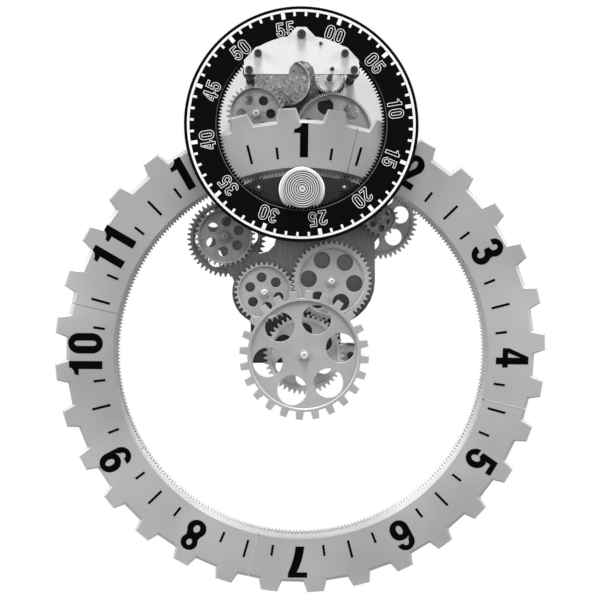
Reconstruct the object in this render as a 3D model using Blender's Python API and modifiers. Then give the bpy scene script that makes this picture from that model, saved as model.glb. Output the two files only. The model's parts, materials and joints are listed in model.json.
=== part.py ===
# Industrial wall clock with two moving rings, as separate solids in their real places.
# Every piece is drawn in a face frame: x to the viewer's right, y up, z out from the wall.
# Its origin is on the hour ring's axis at the wall. The object's origin is the point on the
# wall that the clock hangs from. All lengths are in metres.

import math

import bmesh
import bpy


# Clearances
GAP = 0.0003
RUNNING_GAP = 0.0003
STUD_GAP = 0.0006
PLATE_TOP_GAP = 0.0027
CUTTER_REACH = 0.001

# Hour ring, which leans so that its foot is nearer to the wall
HOUR_LEAN_DEG = 5.0
HOUR_FRONT = 0.0424
HOUR_TIP_R = 0.2811
HOUR_NOTCH_R = 0.2683
HOUR_LEDGE = 0.0024
HOUR_FACE_THICK = 0.006
HOUR_BLOCKS = 32
HOUR_BLOCK_PHASE = 8.1
BLOCK_TIP_WIDTH = 0.0195
BLOCK_ROOT_WIDTH = 0.0272
HOUR_FACES = 4
HOUR_FACE_SEAM = 13.8
HOUR_MODULE = 0.001298
HOUR_TEETH = 324
HOUR_RIM_WALL = 0.0069
HOUR_RIM_THICK = 0.0077
HOUR_RIMS = 2
HOUR_RIM_SEAM = 60.0

# Fine teeth of both rings and of the pinions that meet them
HOUR_ADDENDUM = 0.0016
HOUR_DEDENDUM = 0.0023
FINE_ADDENDUM = 0.0018
FINE_DEDENDUM = 0.0024

# Minute ring
MINUTE_RISE = 0.2595
MINUTE_OUTER_R = 0.1293
MINUTE_LEDGE = 0.00115
MINUTE_DIAL_THICK = 0.003
MINUTE_MODULE = 0.00121
MINUTE_TEETH = 150
MINUTE_GEAR_WALL = 0.01085
MINUTE_GEAR_THICK = 0.0047
MINUTE_BACK = 0.070

# Pinion that turns the minute ring, and the two that carry the hour ring
DRIVE_TEETH = 32
DRIVE_DISC_R = 0.0215
DRIVE_DISC_THICK = 0.0068
DRIVE_DISC_BEVEL = 0.0008
DRIVE_SOCKET_SHARE = 0.5
DRIVE_FLANGE_R = 0.0255
DRIVE_FLANGE_THICK = 0.003
DRIVE_SHAFT_R = 0.004
CARRIER_TEETH = 18
CARRIER_SPREAD = 0.048
CARRIER_STUD_R = 0.003
CARRIER_CAP_R = 0.0045
CARRIER_CAP_THICK = 0.002
CARRIER_FOOT_THICK = 0.0015
CARRIER_STUD_SPARE = 0.0015

# Train of gears
MODULE = 0.0019
ADDENDUM = 0.0015
DEDENDUM = 0.002
POINTED_DEDENDUM = 0.0025
TOOTH_TIP_SHARE = 0.16
TOOTH_ROOT_SHARE = 0.62
WHEEL_TEETH = 46
SMALL_TEETH = 34
REAR_IDLER_TEETH = 48
PINION_TEETH = 20
MOTOR_TEETH = 12
SETTING_MODULE = 0.000856
SETTING_WHEEL_TEETH = 104
SETTING_TEETH = 38
SETTING_ADDENDUM = 0.0007
SETTING_DEDENDUM = 0.0012
GEAR_THICK = 0.0045
FRONT_GEARS_BACK = 0.0622
REAR_PAIR_ONE_BACK = 0.029
REAR_PAIR_TWO_BACK = 0.0362
UPPER_GEARS_BACK = 0.0335
ARBOR_R = 0.003
ARBOR_CAP_R = 0.0045
ARBOR_CAP_THICK = 0.0015
WHEEL_HOLE_R = 0.0094
WHEEL_HOLE_CIRCLE_R = 0.0258
SMALL_HOLE_R = 0.0055
SMALL_HOLE_CIRCLE_R = 0.0168
PINION_HOLE_R = 0.0034
PINION_HOLE_CIRCLE_R = 0.0107
HOLES = 6

# Clock directions of the first lightening hole in each gear
MID_RIGHT_HOLES = 36.0
MID_LEFT_HOLES = 49.8
CENTRE_HOLES = 0.0
LEFT_WHEEL_HOLES = 26.3
LEFT_FRONT_HOLES = 6.5
RIGHT_WHEEL_HOLES = 22.5
RIGHT_FRONT_HOLES = 54.0
UPPER_LEFT_HOLES = 31.0
UPPER_RIGHT_HOLES = 36.0

# Coarse gear in front of the centre
COARSE_TEETH = 24
COARSE_PHASE = 4.75
COARSE_TIP_R = 0.0718
COARSE_ROOT_R = 0.0631
COARSE_TIP_WIDTH = 0.0074
COARSE_ROOT_WIDTH = 0.0088
COARSE_HOLE_R = 0.0164
COARSE_HOLE_CIRCLE_R = 0.0412
COARSE_HOLE_PHASE = 19.3
COARSE_BACK = 0.0722
COARSE_THICK = 0.006

# Centre of the train, and the clock directions from each arbor to the next
CENTRE = (0.0015, 0.005)
CENTRE_TO_MID_RIGHT = 21.0
MID_RIGHT_TO_MID_LEFT = 261.1
MID_LEFT_TO_LEFT = 325.1
MID_RIGHT_TO_RIGHT = 38.2
UPPER_RIGHT = (0.0381, 0.2578)
UPPER_RIGHT_TO_SETTING = 355.6
UPPER_LEFT = (-0.0508, 0.2787)
UPPER_LEFT_TO_MOTOR = 57.2

# Plates, pillars and case
BACK_PLATE_R = 0.100
TONGUE_LEFT = -0.026
TONGUE_RIGHT = 0.042
TONGUE_BOTTOM = 0.008
CASE_WALL = 0.002
CASE_DEPTH = 0.0217
BACK_PLATE_THICK = 0.0025
MOVEMENT_PLATE_BACK = 0.055
MOVEMENT_PLATE_THICK = 0.003
PLATE_TOP_HALF_WIDTH = 0.062
PLATE_MARGIN = 0.0025
PLATE_EAR_R = 0.012
PLATE_EAR_DROP = 0.0264
RIGHT_EAR_ARC = (30.0, 120.0)
LEFT_EAR_ARC = (235.0, 335.0)
MID_LEFT_LOBE_END = 290.0
PLATE_FOOT = (-0.058, -0.005, 0.043)
PLATE_LUG = (0.060, 0.017)
PLATE_WINDOW = (-0.0466, 0.1363)
PLATE_WINDOW_R = 0.018
PILLAR_R = 0.004
PILLARS = ((-0.005, 0.152), (-0.016, 0.118), (0.006, 0.024))

# Front plate, its posts and its guide studs
FRONT_PLATE_BACK = 0.082
FRONT_PLATE_THICK = 0.003
FRONT_PLATE_BOTTOM = 0.0535
FRONT_PLATE_EDGE_R = 0.0955
FRONT_PLATE_SIDE = 0.0628
FRONT_PLATE_SIDE_TOP = 0.0685
FRONT_PLATE_ARCH_R = 0.0145
FRONT_PLATE_ARCH_DEGREES = (30.0, 60.0, 90.0)
EAR_LEAD_DEG = 3.0
TOP_LOBE_HALF_WIDTH = 0.0150
TOP_LOBE_TIP = (0.0053, 0.1047)
EAR_POINTS = ((0.0448, 0.0843), (0.0500, 0.0825))
POST_PLACE = (0.0573, 0.0577)
POST_R = 0.003
ROLLER_THICK = 0.006
POST_COLLAR_R = 0.006
POST_COLLAR_THICK = 0.002
SCREW_R = 0.0042
SCREW_THICK = 0.0055
TOP_STUD = (0.0, 0.0963)
EAR_STUD = (0.0474, 0.0756)
TOP_STUD_R = 0.0049
EAR_STUD_R = 0.0042
STUD_PAD_R = 0.0055
STUD_SHANK_R = 0.002

# Inside the case and on the wall side
DRUM_CENTRE = (-0.013, 0.316)
DRUM_R = 0.033
DRUM_THICK = 0.0055
DRUM_WING_CENTRE = (0.033, 0.262)
DRUM_WING_R = 0.034
DRUM_WING_ARC = (-19.0, 90.0)
DRUM_LEFT = -0.054
DRUM_LEFT_TOP = 0.296
BATTERY_R = 0.00725
BATTERY_LENGTH = 0.0505
BATTERY_PLACE = (0.0, 0.222)
TRAY_WALL = 0.0015
DOOR_MARGIN = (0.005, 0.0073)
BOARD_SIZE = (0.060, 0.045)
BOARD_PLACE = (0.0, 0.274)
BOARD_THICK = 0.0016
HANGER_SIZE = (0.040, 0.034)
HANGER_PLACE = (0.0, 0.326)
HANGER_THICK = 0.002
KEYHOLE_R = 0.0045
KEYHOLE_SLOT_R = 0.0024
KEYHOLE_RISE = 0.012

# Facets
ROUND_STEPS = 12
BORE_STEPS = 8
HOLE_STEPS = 10
RING_STEPS = 72


def new_material(name, colour, roughness, metallic):
    material = bpy.data.materials.new(name)
    material.use_nodes = True
    shader = material.node_tree.nodes["Principled BSDF"]
    shader.inputs["Base Color"].default_value = (*colour, 1.0)
    shader.inputs["Roughness"].default_value = roughness
    shader.inputs["Metallic"].default_value = metallic
    material.diffuse_color = (*colour, 1.0)
    return material


def clock_point(radius, degrees, centre=(0.0, 0.0)):
    """The point at this radius and this many degrees clockwise from the top."""
    angle = math.radians(degrees)
    return (centre[0] + radius * math.sin(angle), centre[1] + radius * math.cos(angle))


def clock_angle(start, end):
    return math.degrees(math.atan2(end[0] - start[0], end[1] - start[1]))


def arc(radius, start, end, steps, centre=(0.0, 0.0)):
    turn = (end - start) / steps
    return [clock_point(radius, start + turn * i, centre) for i in range(steps + 1)]


def circle(radius, steps, centre=(0.0, 0.0)):
    return arc(radius, 0.0, 360.0, steps, centre)[:-1]


def bore(radius, centre=(0.0, 0.0)):
    """A hole whose flats clear a spindle, where the radius already includes the gap."""
    return circle(radius / math.cos(math.pi / BORE_STEPS), BORE_STEPS, centre)


def rectangle(size, centre):
    half_x = size[0] / 2
    half_y = size[1] / 2
    signs = ((-1, -1), (1, -1), (1, 1), (-1, 1))
    return [(centre[0] + sx * half_x, centre[1] + sy * half_y) for sx, sy in signs]


def hole_circle(radius, circle_radius, phase):
    """Lightening holes, evenly spaced."""
    turn = 360.0 / HOLES
    centres = [clock_point(circle_radius, phase + turn * i) for i in range(HOLES)]
    return [circle(radius, HOLE_STEPS, centre) for centre in centres]


def pitch_radius(teeth, module=MODULE):
    return teeth * module / 2


def tooth_row(base_r, tip_r, base_width, tip_width, centres):
    """Teeth at these clock directions, with their widths in degrees. A width of 0 is a point."""
    points = []
    for centre in centres:
        points.append(clock_point(base_r, centre - base_width / 2))
        points.append(clock_point(tip_r, centre - tip_width / 2))
        if tip_width > 0:
            points.append(clock_point(tip_r, centre + tip_width / 2))
            points.append(clock_point(base_r, centre + base_width / 2))
    return points


def gear(teeth, phase, tip_share=TOOTH_TIP_SHARE, root_share=TOOTH_ROOT_SHARE):
    """Outline of a gear of the train, with one tooth centred at the phase."""
    turn = 360.0 / teeth
    centres = [phase + turn * i for i in range(teeth)]
    base_r = pitch_radius(teeth) - DEDENDUM
    tip_r = pitch_radius(teeth) + ADDENDUM
    return tooth_row(base_r, tip_r, root_share * turn, tip_share * turn, centres)


def pointed_gear(teeth, module, addendum, dedendum, phase):
    """Outline with pointed teeth. A negative module makes them point inwards."""
    turn = 360.0 / teeth
    centres = [phase + turn * i for i in range(teeth)]
    side = math.copysign(1.0, module)
    pitch_r = pitch_radius(teeth, abs(module))
    return tooth_row(pitch_r - side * dedendum, pitch_r + side * addendum, turn, 0.0, centres)


def meshed_phase(teeth, phase, direction, other_teeth, inside=False):
    """Phase that puts a gap of the other gear on a tooth of this one.

    The direction is the clock direction from this gear's axis to the other's.
    """
    turn = 360.0 / teeth
    other_turn = 360.0 / other_teeth
    behind = ((direction - phase) % turn) / turn
    if inside:
        return direction - behind * other_turn + other_turn / 2
    return direction + 180.0 + behind * other_turn + other_turn / 2


def step_to(start, direction, distance):
    return clock_point(distance, direction, start)


# Places that follow from the sizes
hour_pitch_r = pitch_radius(HOUR_TEETH, HOUR_MODULE)
minute_pitch_r = pitch_radius(MINUTE_TEETH, MINUTE_MODULE)
drive_pitch_r = pitch_radius(DRIVE_TEETH, MINUTE_MODULE)
carrier_pitch_r = pitch_radius(CARRIER_TEETH, HOUR_MODULE)
minute_centre = (0.0, MINUTE_RISE)
minute_front = MINUTE_BACK + MINUTE_GEAR_THICK + GAP + MINUTE_DIAL_THICK
hour_root_r = hour_pitch_r + HOUR_DEDENDUM
hour_tooth_r = hour_pitch_r - HOUR_ADDENDUM
hour_face_inner_r = hour_root_r + HOUR_LEDGE
hour_rim_outer_r = hour_root_r + HOUR_RIM_WALL
plate_top_r = hour_tooth_r - PLATE_TOP_GAP
minute_root_r = minute_pitch_r + FINE_DEDENDUM
drive_place = (0.0, MINUTE_RISE - minute_pitch_r + drive_pitch_r)
carrier_reach = hour_pitch_r - carrier_pitch_r
carrier_rise = math.sqrt(carrier_reach**2 - CARRIER_SPREAD**2)
mid_right = step_to(CENTRE, CENTRE_TO_MID_RIGHT, 2 * pitch_radius(WHEEL_TEETH))
small_reach = pitch_radius(WHEEL_TEETH) + pitch_radius(SMALL_TEETH)
mid_left = step_to(mid_right, MID_RIGHT_TO_MID_LEFT, small_reach)
left = step_to(mid_left, MID_LEFT_TO_LEFT, small_reach)
idler_reach = pitch_radius(REAR_IDLER_TEETH) + pitch_radius(WHEEL_TEETH)
right = step_to(mid_right, MID_RIGHT_TO_RIGHT, idler_reach)
setting_reach = pitch_radius(SETTING_WHEEL_TEETH + SETTING_TEETH, SETTING_MODULE)
setting = step_to(UPPER_RIGHT, UPPER_RIGHT_TO_SETTING, setting_reach)
motor_reach = pitch_radius(SMALL_TEETH) + pitch_radius(MOTOR_TEETH)
motor = step_to(UPPER_LEFT, UPPER_LEFT_TO_MOTOR, motor_reach)
case_front = CASE_DEPTH
back_plate_back = case_front + GAP
back_plate_front = back_plate_back + BACK_PLATE_THICK
drum_back = back_plate_front + GAP
drum_front = drum_back + DRUM_THICK
movement_plate_front = MOVEMENT_PLATE_BACK + MOVEMENT_PLATE_THICK
front_plate_front = FRONT_PLATE_BACK + FRONT_PLATE_THICK
front_gears_front = FRONT_GEARS_BACK + GEAR_THICK
roller_r = minute_pitch_r - FINE_ADDENDUM - RUNNING_GAP - math.hypot(*POST_PLACE)


def clear_scene():
    for obj in list(bpy.data.objects):
        bpy.data.objects.remove(obj, do_unlink=True)


def new_collection(name):
    collection = bpy.data.collections.new(name)
    bpy.context.scene.collection.children.link(collection)
    return collection


def new_empty(name, parent=None, location=(0.0, 0.0, 0.0), turn_x=0.0):
    empty = bpy.data.objects.new(name, None)
    parts.objects.link(empty)
    empty.parent = parent
    empty.location = location
    empty.rotation_euler = (turn_x, 0.0, 0.0)
    return empty


def place(obj, parent, location, collection):
    obj.parent = parent
    obj.location = location
    collection.objects.link(obj)


def flat(name, outline, holes, back, thick, material, centre=(0.0, 0.0), parent=None):
    """A sheet of this outline, standing parallel to the wall."""
    curve = bpy.data.curves.new(name, "CURVE")
    curve.dimensions = "2D"
    curve.fill_mode = "BOTH"
    curve.extrude = thick / 2
    for points in [outline, *holes]:
        spline = curve.splines.new("POLY")
        spline.points.add(len(points) - 1)
        spline.use_cyclic_u = True
        for point, (x, y) in zip(spline.points, points):
            point.co = (x, y, 0.0, 1.0)
    curve.materials.append(material)
    obj = bpy.data.objects.new(name, curve)
    place(obj, parent or face_frame, (centre[0], centre[1], back + thick / 2), parts)
    return obj


def turned(name, profile, material, centre=(0.0, 0.0), parent=None, steps=ROUND_STEPS, z=0.0):
    """A round piece. The profile runs from its front middle over its outside to its back middle."""
    mesh = bpy.data.meshes.new(name)
    edges = [(i, i + 1) for i in range(len(profile) - 1)]
    mesh.from_pydata([(radius, 0.0, height) for radius, height in profile], edges, [])
    mesh.materials.append(material)
    obj = bpy.data.objects.new(name, mesh)
    place(obj, parent or face_frame, (centre[0], centre[1], z), parts)
    screw = obj.modifiers.new("turn", "SCREW")
    screw.axis = "Z"
    screw.angle = math.radians(360.0)
    screw.steps = steps
    screw.render_steps = steps
    screw.use_merge_vertices = True
    screw.merge_threshold = 0.00001
    screw.use_smooth_shade = True
    return obj


def stepped(steps):
    """Profile of a round piece from its front to its back, as (radius, front, back) lengths."""
    profile = [(0.0, steps[0][1])]
    for radius, front, back in steps:
        profile.append((radius, front))
        profile.append((radius, back))
    profile.append((0.0, steps[-1][2]))
    return profile


def block(name, size, centre, material):
    bpy.ops.mesh.primitive_cube_add(size=1.0)
    obj = bpy.context.active_object
    obj.name = name
    obj.data.name = name
    for collection in list(obj.users_collection):
        collection.objects.unlink(obj)
    obj.scale = size
    obj.data.materials.append(material)
    place(obj, face_frame, centre, parts)
    return obj


def as_mesh(obj):
    """The same piece as a mesh object, which a Boolean can cut."""
    bpy.context.view_layer.update()
    graph = bpy.context.evaluated_depsgraph_get()
    mesh = bpy.data.meshes.new_from_object(obj.evaluated_get(graph))
    solid = bmesh_welded(mesh)
    name = obj.name
    parent = obj.parent
    location = tuple(obj.location)
    bpy.data.objects.remove(obj, do_unlink=True)
    made = bpy.data.objects.new(name, solid)
    place(made, parent, location, parts)
    return made


def bmesh_welded(mesh):
    work = bmesh.new()
    work.from_mesh(mesh)
    bmesh.ops.remove_doubles(work, verts=work.verts, dist=0.00001)
    bmesh.ops.recalc_face_normals(work, faces=work.faces)
    work.to_mesh(mesh)
    work.free()
    return mesh


def cut(obj, cutter):
    """Takes the cutter's shape out of the piece, and files the cutter away."""
    for collection in list(cutter.users_collection):
        collection.objects.unlink(cutter)
    cutters.objects.link(cutter)
    cutter.hide_render = True
    cutter.display_type = "WIRE"
    difference = obj.modifiers.new(cutter.name, "BOOLEAN")
    difference.operation = "DIFFERENCE"
    difference.object = cutter


def hour_faces():
    """Front quarters of the hour ring, with the coarse blocks round the outside."""
    turn = 360.0 / HOUR_BLOCKS
    span = 360.0 / HOUR_FACES
    per_face = HOUR_BLOCKS // HOUR_FACES
    root_width = math.degrees(BLOCK_ROOT_WIDTH / HOUR_NOTCH_R)
    tip_width = math.degrees(BLOCK_TIP_WIDTH / HOUR_TIP_R)
    outer_gap = math.degrees(GAP / 2 / HOUR_NOTCH_R)
    inner_gap = math.degrees(GAP / 2 / hour_face_inner_r)
    lead = (HOUR_BLOCK_PHASE - HOUR_FACE_SEAM) % turn
    centres = [lead + turn * i for i in range(per_face)]
    outline = [clock_point(HOUR_NOTCH_R, outer_gap)]
    outline += tooth_row(HOUR_NOTCH_R, HOUR_TIP_R, root_width, tip_width, centres)
    outline += [clock_point(HOUR_NOTCH_R, span - outer_gap)]
    outline += arc(hour_face_inner_r, span - inner_gap, inner_gap, RING_STEPS // HOUR_FACES)
    for i in range(HOUR_FACES):
        name = f"hour_face_{i + 1}"
        face = flat(name, outline, [], -HOUR_FACE_THICK, HOUR_FACE_THICK, satin, parent=hour_axis)
        face.rotation_euler = (0.0, 0.0, -math.radians(HOUR_FACE_SEAM + span * i))


def hour_rims():
    """Toothed bands behind the faces. Each bridges two of the seams in front."""
    turn = 360.0 / HOUR_TEETH
    span = 360.0 / HOUR_RIMS
    inner_gap = math.degrees(GAP / 2 / hour_root_r)
    outer_gap = math.degrees(GAP / 2 / hour_rim_outer_r)
    per_rim = HOUR_TEETH // HOUR_RIMS
    centres = [turn * (i + 0.5) for i in range(per_rim)]
    teeth = tooth_row(hour_root_r, hour_tooth_r, turn, 0.0, centres)
    teeth[0] = clock_point(hour_root_r, inner_gap)
    outline = teeth + [clock_point(hour_root_r, span - inner_gap)]
    outline += arc(hour_rim_outer_r, span - outer_gap, outer_gap, RING_STEPS // HOUR_RIMS)
    back = -HOUR_FACE_THICK - GAP - HOUR_RIM_THICK
    for i, side in enumerate(("right", "left")):
        rim = flat(f"hour_rim_{side}", outline, [], back, HOUR_RIM_THICK, satin, parent=hour_axis)
        rim.rotation_euler = (0.0, 0.0, -math.radians(HOUR_RIM_SEAM + span * i))


def minute_ring():
    teeth = pointed_gear(MINUTE_TEETH, -MINUTE_MODULE, FINE_ADDENDUM, FINE_DEDENDUM, 0.0)
    outer = circle(minute_root_r + MINUTE_GEAR_WALL, RING_STEPS)
    flat("minute_gear", outer, [teeth], MINUTE_BACK, MINUTE_GEAR_THICK, black, minute_centre)
    inner = circle(minute_root_r + MINUTE_LEDGE, RING_STEPS)
    back = MINUTE_BACK + MINUTE_GEAR_THICK + GAP
    outer = circle(MINUTE_OUTER_R, RING_STEPS)
    flat("minute_dial", outer, [inner], back, MINUTE_DIAL_THICK, black, minute_centre)


def minute_drive():
    """Shaft with its flange, the pinion on it and the turned disc in front."""
    phase = meshed_phase(MINUTE_TEETH, 0.0, 180.0, DRIVE_TEETH, inside=True)
    teeth = pointed_gear(DRIVE_TEETH, MINUTE_MODULE, FINE_ADDENDUM, FINE_DEDENDUM, phase)
    pinion_back = MINUTE_BACK - GAP
    pinion_front = minute_front + GAP
    holes = [bore(DRIVE_SHAFT_R + GAP)]
    flat("drive_pinion", teeth, holes, pinion_back, pinion_front - pinion_back, satin, drive_place)
    flange_back = pinion_back - GAP - DRIVE_FLANGE_THICK
    disc_back = pinion_front + GAP
    socket_depth = DRIVE_SOCKET_SHARE * DRIVE_DISC_THICK
    shaft = [
        (DRIVE_SHAFT_R, disc_back + socket_depth, pinion_back - GAP),
        (DRIVE_FLANGE_R, pinion_back - GAP, flange_back),
        (DRIVE_SHAFT_R, flange_back, MOVEMENT_PLATE_BACK - 2 * GAP),
    ]
    turned("drive_shaft", stepped(shaft), satin, drive_place, steps=2 * ROUND_STEPS)
    socket_r = DRIVE_SHAFT_R + GAP
    socket_top = disc_back + socket_depth + GAP
    disc_front = disc_back + DRIVE_DISC_THICK
    disc = [
        (0.0, disc_front),
        (DRIVE_DISC_R - DRIVE_DISC_BEVEL, disc_front),
        (DRIVE_DISC_R, disc_front - DRIVE_DISC_BEVEL),
        (DRIVE_DISC_R, disc_back),
        (socket_r, disc_back),
        (socket_r, socket_top),
        (0.0, socket_top),
    ]
    turned("drive_disc", disc, satin, drive_place, steps=2 * ROUND_STEPS)


def hour_carriers():
    """Pinions inside the top of the hour ring, on studs that lean with it."""
    rim_front = -HOUR_FACE_THICK - GAP
    rim_back = rim_front - HOUR_RIM_THICK
    first_tooth = HOUR_RIM_SEAM + 180.0 / HOUR_TEETH
    stud_front = movement_plate_front - HOUR_FRONT - math.sin(lean) * carrier_rise
    stud_front += CARRIER_STUD_SPARE
    for side, sign in (("left", -1), ("right", 1)):
        centre = (sign * CARRIER_SPREAD, carrier_rise)
        direction = clock_angle((0.0, 0.0), centre)
        phase = meshed_phase(HOUR_TEETH, first_tooth, direction, CARRIER_TEETH, inside=True)
        teeth = pointed_gear(CARRIER_TEETH, HOUR_MODULE, HOUR_ADDENDUM, HOUR_DEDENDUM, phase)
        holes = [bore(CARRIER_STUD_R + RUNNING_GAP)]
        name = f"{side}_carrier_pinion"
        flat(name, teeth, holes, rim_back, HOUR_RIM_THICK, steel, centre, hour_axis)
        stud = [
            (CARRIER_CAP_R, stud_front + CARRIER_CAP_THICK, stud_front),
            (CARRIER_STUD_R, stud_front, rim_back - GAP),
            (CARRIER_CAP_R, rim_back - GAP, rim_back - GAP - CARRIER_FOOT_THICK),
        ]
        turned(f"{side}_carrier_stud", stepped(stud), steel, centre, hour_axis)


def arbor(name, place_at, back, front):
    """A spindle with a cap on each end."""
    profile = [
        (ARBOR_CAP_R, front + ARBOR_CAP_THICK, front),
        (ARBOR_R, front, back),
        (ARBOR_CAP_R, back, back - ARBOR_CAP_THICK),
    ]
    turned(name, stepped(profile), steel, place_at)


def bored_gear(name, outline, holes, place_at, back):
    holes = [bore(ARBOR_R + GAP), *holes]
    flat(name, outline, holes, back, GEAR_THICK, gear_metal, place_at)


def train_gear(name, teeth, phase, holes, place_at, back, pointed=False):
    if pointed:
        outline = pointed_gear(teeth, MODULE, ADDENDUM, POINTED_DEDENDUM, phase)
    else:
        outline = gear(teeth, phase)
    bored_gear(name, outline, holes, place_at, back)


def setting_pair_gear(name, teeth, phase, holes, place_at):
    """One of the two gears with finer teeth at the upper right."""
    outline = pointed_gear(teeth, SETTING_MODULE, SETTING_ADDENDUM, SETTING_DEDENDUM, phase)
    bored_gear(name, outline, holes, place_at, UPPER_GEARS_BACK)


def wheel_holes(phase):
    return hole_circle(WHEEL_HOLE_R, WHEEL_HOLE_CIRCLE_R, phase)


def small_holes(phase):
    return hole_circle(SMALL_HOLE_R, SMALL_HOLE_CIRCLE_R, phase)


def lower_train():
    """The gears in front of the movement plate and the ones hidden behind it."""
    front_z = front_gears_front + GAP
    right_phase = 0.0
    towards_left = clock_angle(mid_right, mid_left)
    towards_centre = clock_angle(mid_right, CENTRE)
    left_phase = meshed_phase(WHEEL_TEETH, right_phase, towards_left, SMALL_TEETH)
    centre_phase = meshed_phase(WHEEL_TEETH, right_phase, towards_centre, WHEEL_TEETH)
    holes = wheel_holes(MID_RIGHT_HOLES)
    train_gear("mid_right_front_gear", WHEEL_TEETH, right_phase, holes, mid_right, FRONT_GEARS_BACK)
    holes = small_holes(MID_LEFT_HOLES)
    train_gear("mid_left_front_gear", SMALL_TEETH, left_phase, holes, mid_left, FRONT_GEARS_BACK)
    holes = wheel_holes(CENTRE_HOLES)
    train_gear("centre_rear_gear", WHEEL_TEETH, centre_phase, holes, CENTRE, FRONT_GEARS_BACK, True)

    # First pair behind the plate: the left wheel and its partner below
    towards_upper = clock_angle(mid_left, left)
    wheel_phase = meshed_phase(SMALL_TEETH, left_phase, towards_upper, WHEEL_TEETH)
    back = REAR_PAIR_ONE_BACK
    train_gear("mid_left_rear_gear", SMALL_TEETH, left_phase, [], mid_left, back, True)
    holes = wheel_holes(LEFT_WHEEL_HOLES)
    train_gear("left_rear_wheel", WHEEL_TEETH, wheel_phase, holes, left, back, True)
    holes = small_holes(LEFT_FRONT_HOLES)
    train_gear("left_front_gear", SMALL_TEETH, 0.0, holes, left, FRONT_GEARS_BACK)

    # Second pair behind the plate: the right wheel and its partner below
    towards_upper = clock_angle(mid_right, right)
    wheel_phase = meshed_phase(REAR_IDLER_TEETH, right_phase, towards_upper, WHEEL_TEETH)
    back = REAR_PAIR_TWO_BACK
    train_gear("mid_right_rear_gear", REAR_IDLER_TEETH, right_phase, [], mid_right, back, True)
    holes = wheel_holes(RIGHT_WHEEL_HOLES)
    train_gear("right_rear_wheel", WHEEL_TEETH, wheel_phase, holes, right, back, True)
    holes = hole_circle(PINION_HOLE_R, PINION_HOLE_CIRCLE_R, RIGHT_FRONT_HOLES)
    train_gear("right_front_gear", PINION_TEETH, 0.0, holes, right, FRONT_GEARS_BACK)

    arbor("mid_left_arbor", mid_left, REAR_PAIR_ONE_BACK - GAP, front_z)
    arbor("left_arbor", left, REAR_PAIR_ONE_BACK - GAP, front_z)
    arbor("mid_right_arbor", mid_right, REAR_PAIR_TWO_BACK - GAP, front_z)
    arbor("right_arbor", right, REAR_PAIR_TWO_BACK - GAP, front_z)
    coarse_front = COARSE_BACK + COARSE_THICK + GAP
    arbor("centre_arbor", CENTRE, MOVEMENT_PLATE_BACK - GAP, coarse_front)


def coarse_gear():
    turn = 360.0 / COARSE_TEETH
    centres = [COARSE_PHASE + turn * i for i in range(COARSE_TEETH)]
    root_width = math.degrees(COARSE_ROOT_WIDTH / COARSE_ROOT_R)
    tip_width = math.degrees(COARSE_TIP_WIDTH / COARSE_TIP_R)
    outline = tooth_row(COARSE_ROOT_R, COARSE_TIP_R, root_width, tip_width, centres)
    holes = hole_circle(COARSE_HOLE_R, COARSE_HOLE_CIRCLE_R, COARSE_HOLE_PHASE)
    holes.append(bore(ARBOR_R + GAP))
    flat("coarse_gear", outline, holes, COARSE_BACK, COARSE_THICK, gear_metal, CENTRE)


def upper_train():
    """The gears behind the hour ring, seen through the minute ring."""
    back = UPPER_GEARS_BACK
    holes = small_holes(UPPER_LEFT_HOLES)
    train_gear("upper_left_wheel", SMALL_TEETH, 0.0, holes, UPPER_LEFT, back, True)
    phase = meshed_phase(SMALL_TEETH, 0.0, clock_angle(UPPER_LEFT, motor), MOTOR_TEETH)
    train_gear("motor_pinion", MOTOR_TEETH, phase, [], motor, back, True)
    holes = wheel_holes(UPPER_RIGHT_HOLES)
    setting_pair_gear("upper_right_wheel", SETTING_WHEEL_TEETH, 0.0, holes, UPPER_RIGHT)
    towards_setting = clock_angle(UPPER_RIGHT, setting)
    phase = meshed_phase(SETTING_WHEEL_TEETH, 0.0, towards_setting, SETTING_TEETH)
    setting_pair_gear("setting_gear", SETTING_TEETH, phase, [], setting)
    front = back + GEAR_THICK + GAP
    arbor("motor_arbor", motor, back - GAP, front)
    arbor("upper_left_arbor", UPPER_LEFT, drum_front + GAP + ARBOR_CAP_THICK, front)
    arbor("upper_right_arbor", UPPER_RIGHT, drum_front + GAP + ARBOR_CAP_THICK, front)
    arbor_back = back_plate_front + GAP + ARBOR_CAP_THICK
    nose = [
        (STUD_SHANK_R, front_plate_front + 2 * ARBOR_CAP_THICK, FRONT_PLATE_BACK - GAP),
        (ARBOR_R, FRONT_PLATE_BACK - GAP, arbor_back),
        (ARBOR_CAP_R, arbor_back, arbor_back - ARBOR_CAP_THICK),
    ]
    turned("setting_arbor", stepped(nose), steel, setting)


def case_outline(inset):
    """The disc behind the minute ring with the tongue that hangs from it."""
    radius = BACK_PLATE_R - inset
    left_x = TONGUE_LEFT + inset
    right_x = TONGUE_RIGHT - inset
    left_angle = -180.0 - math.degrees(math.asin(left_x / radius))
    right_angle = 180.0 - math.degrees(math.asin(right_x / radius))
    outline = arc(radius, left_angle, right_angle, RING_STEPS // 2, minute_centre)
    bottom = TONGUE_BOTTOM + inset
    return outline + [(right_x, bottom), (left_x, bottom)]


def keyhole(centre):
    """A round hole with a slot above it, for a screw head to drop into."""
    slot_angle = math.degrees(math.asin(KEYHOLE_SLOT_R / KEYHOLE_R))
    lower = arc(KEYHOLE_R, slot_angle, 360.0 - slot_angle, ROUND_STEPS, centre)
    top = (centre[0], centre[1] + KEYHOLE_RISE)
    return lower + arc(KEYHOLE_SLOT_R, -90.0, 90.0, ROUND_STEPS // 2, top)


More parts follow.
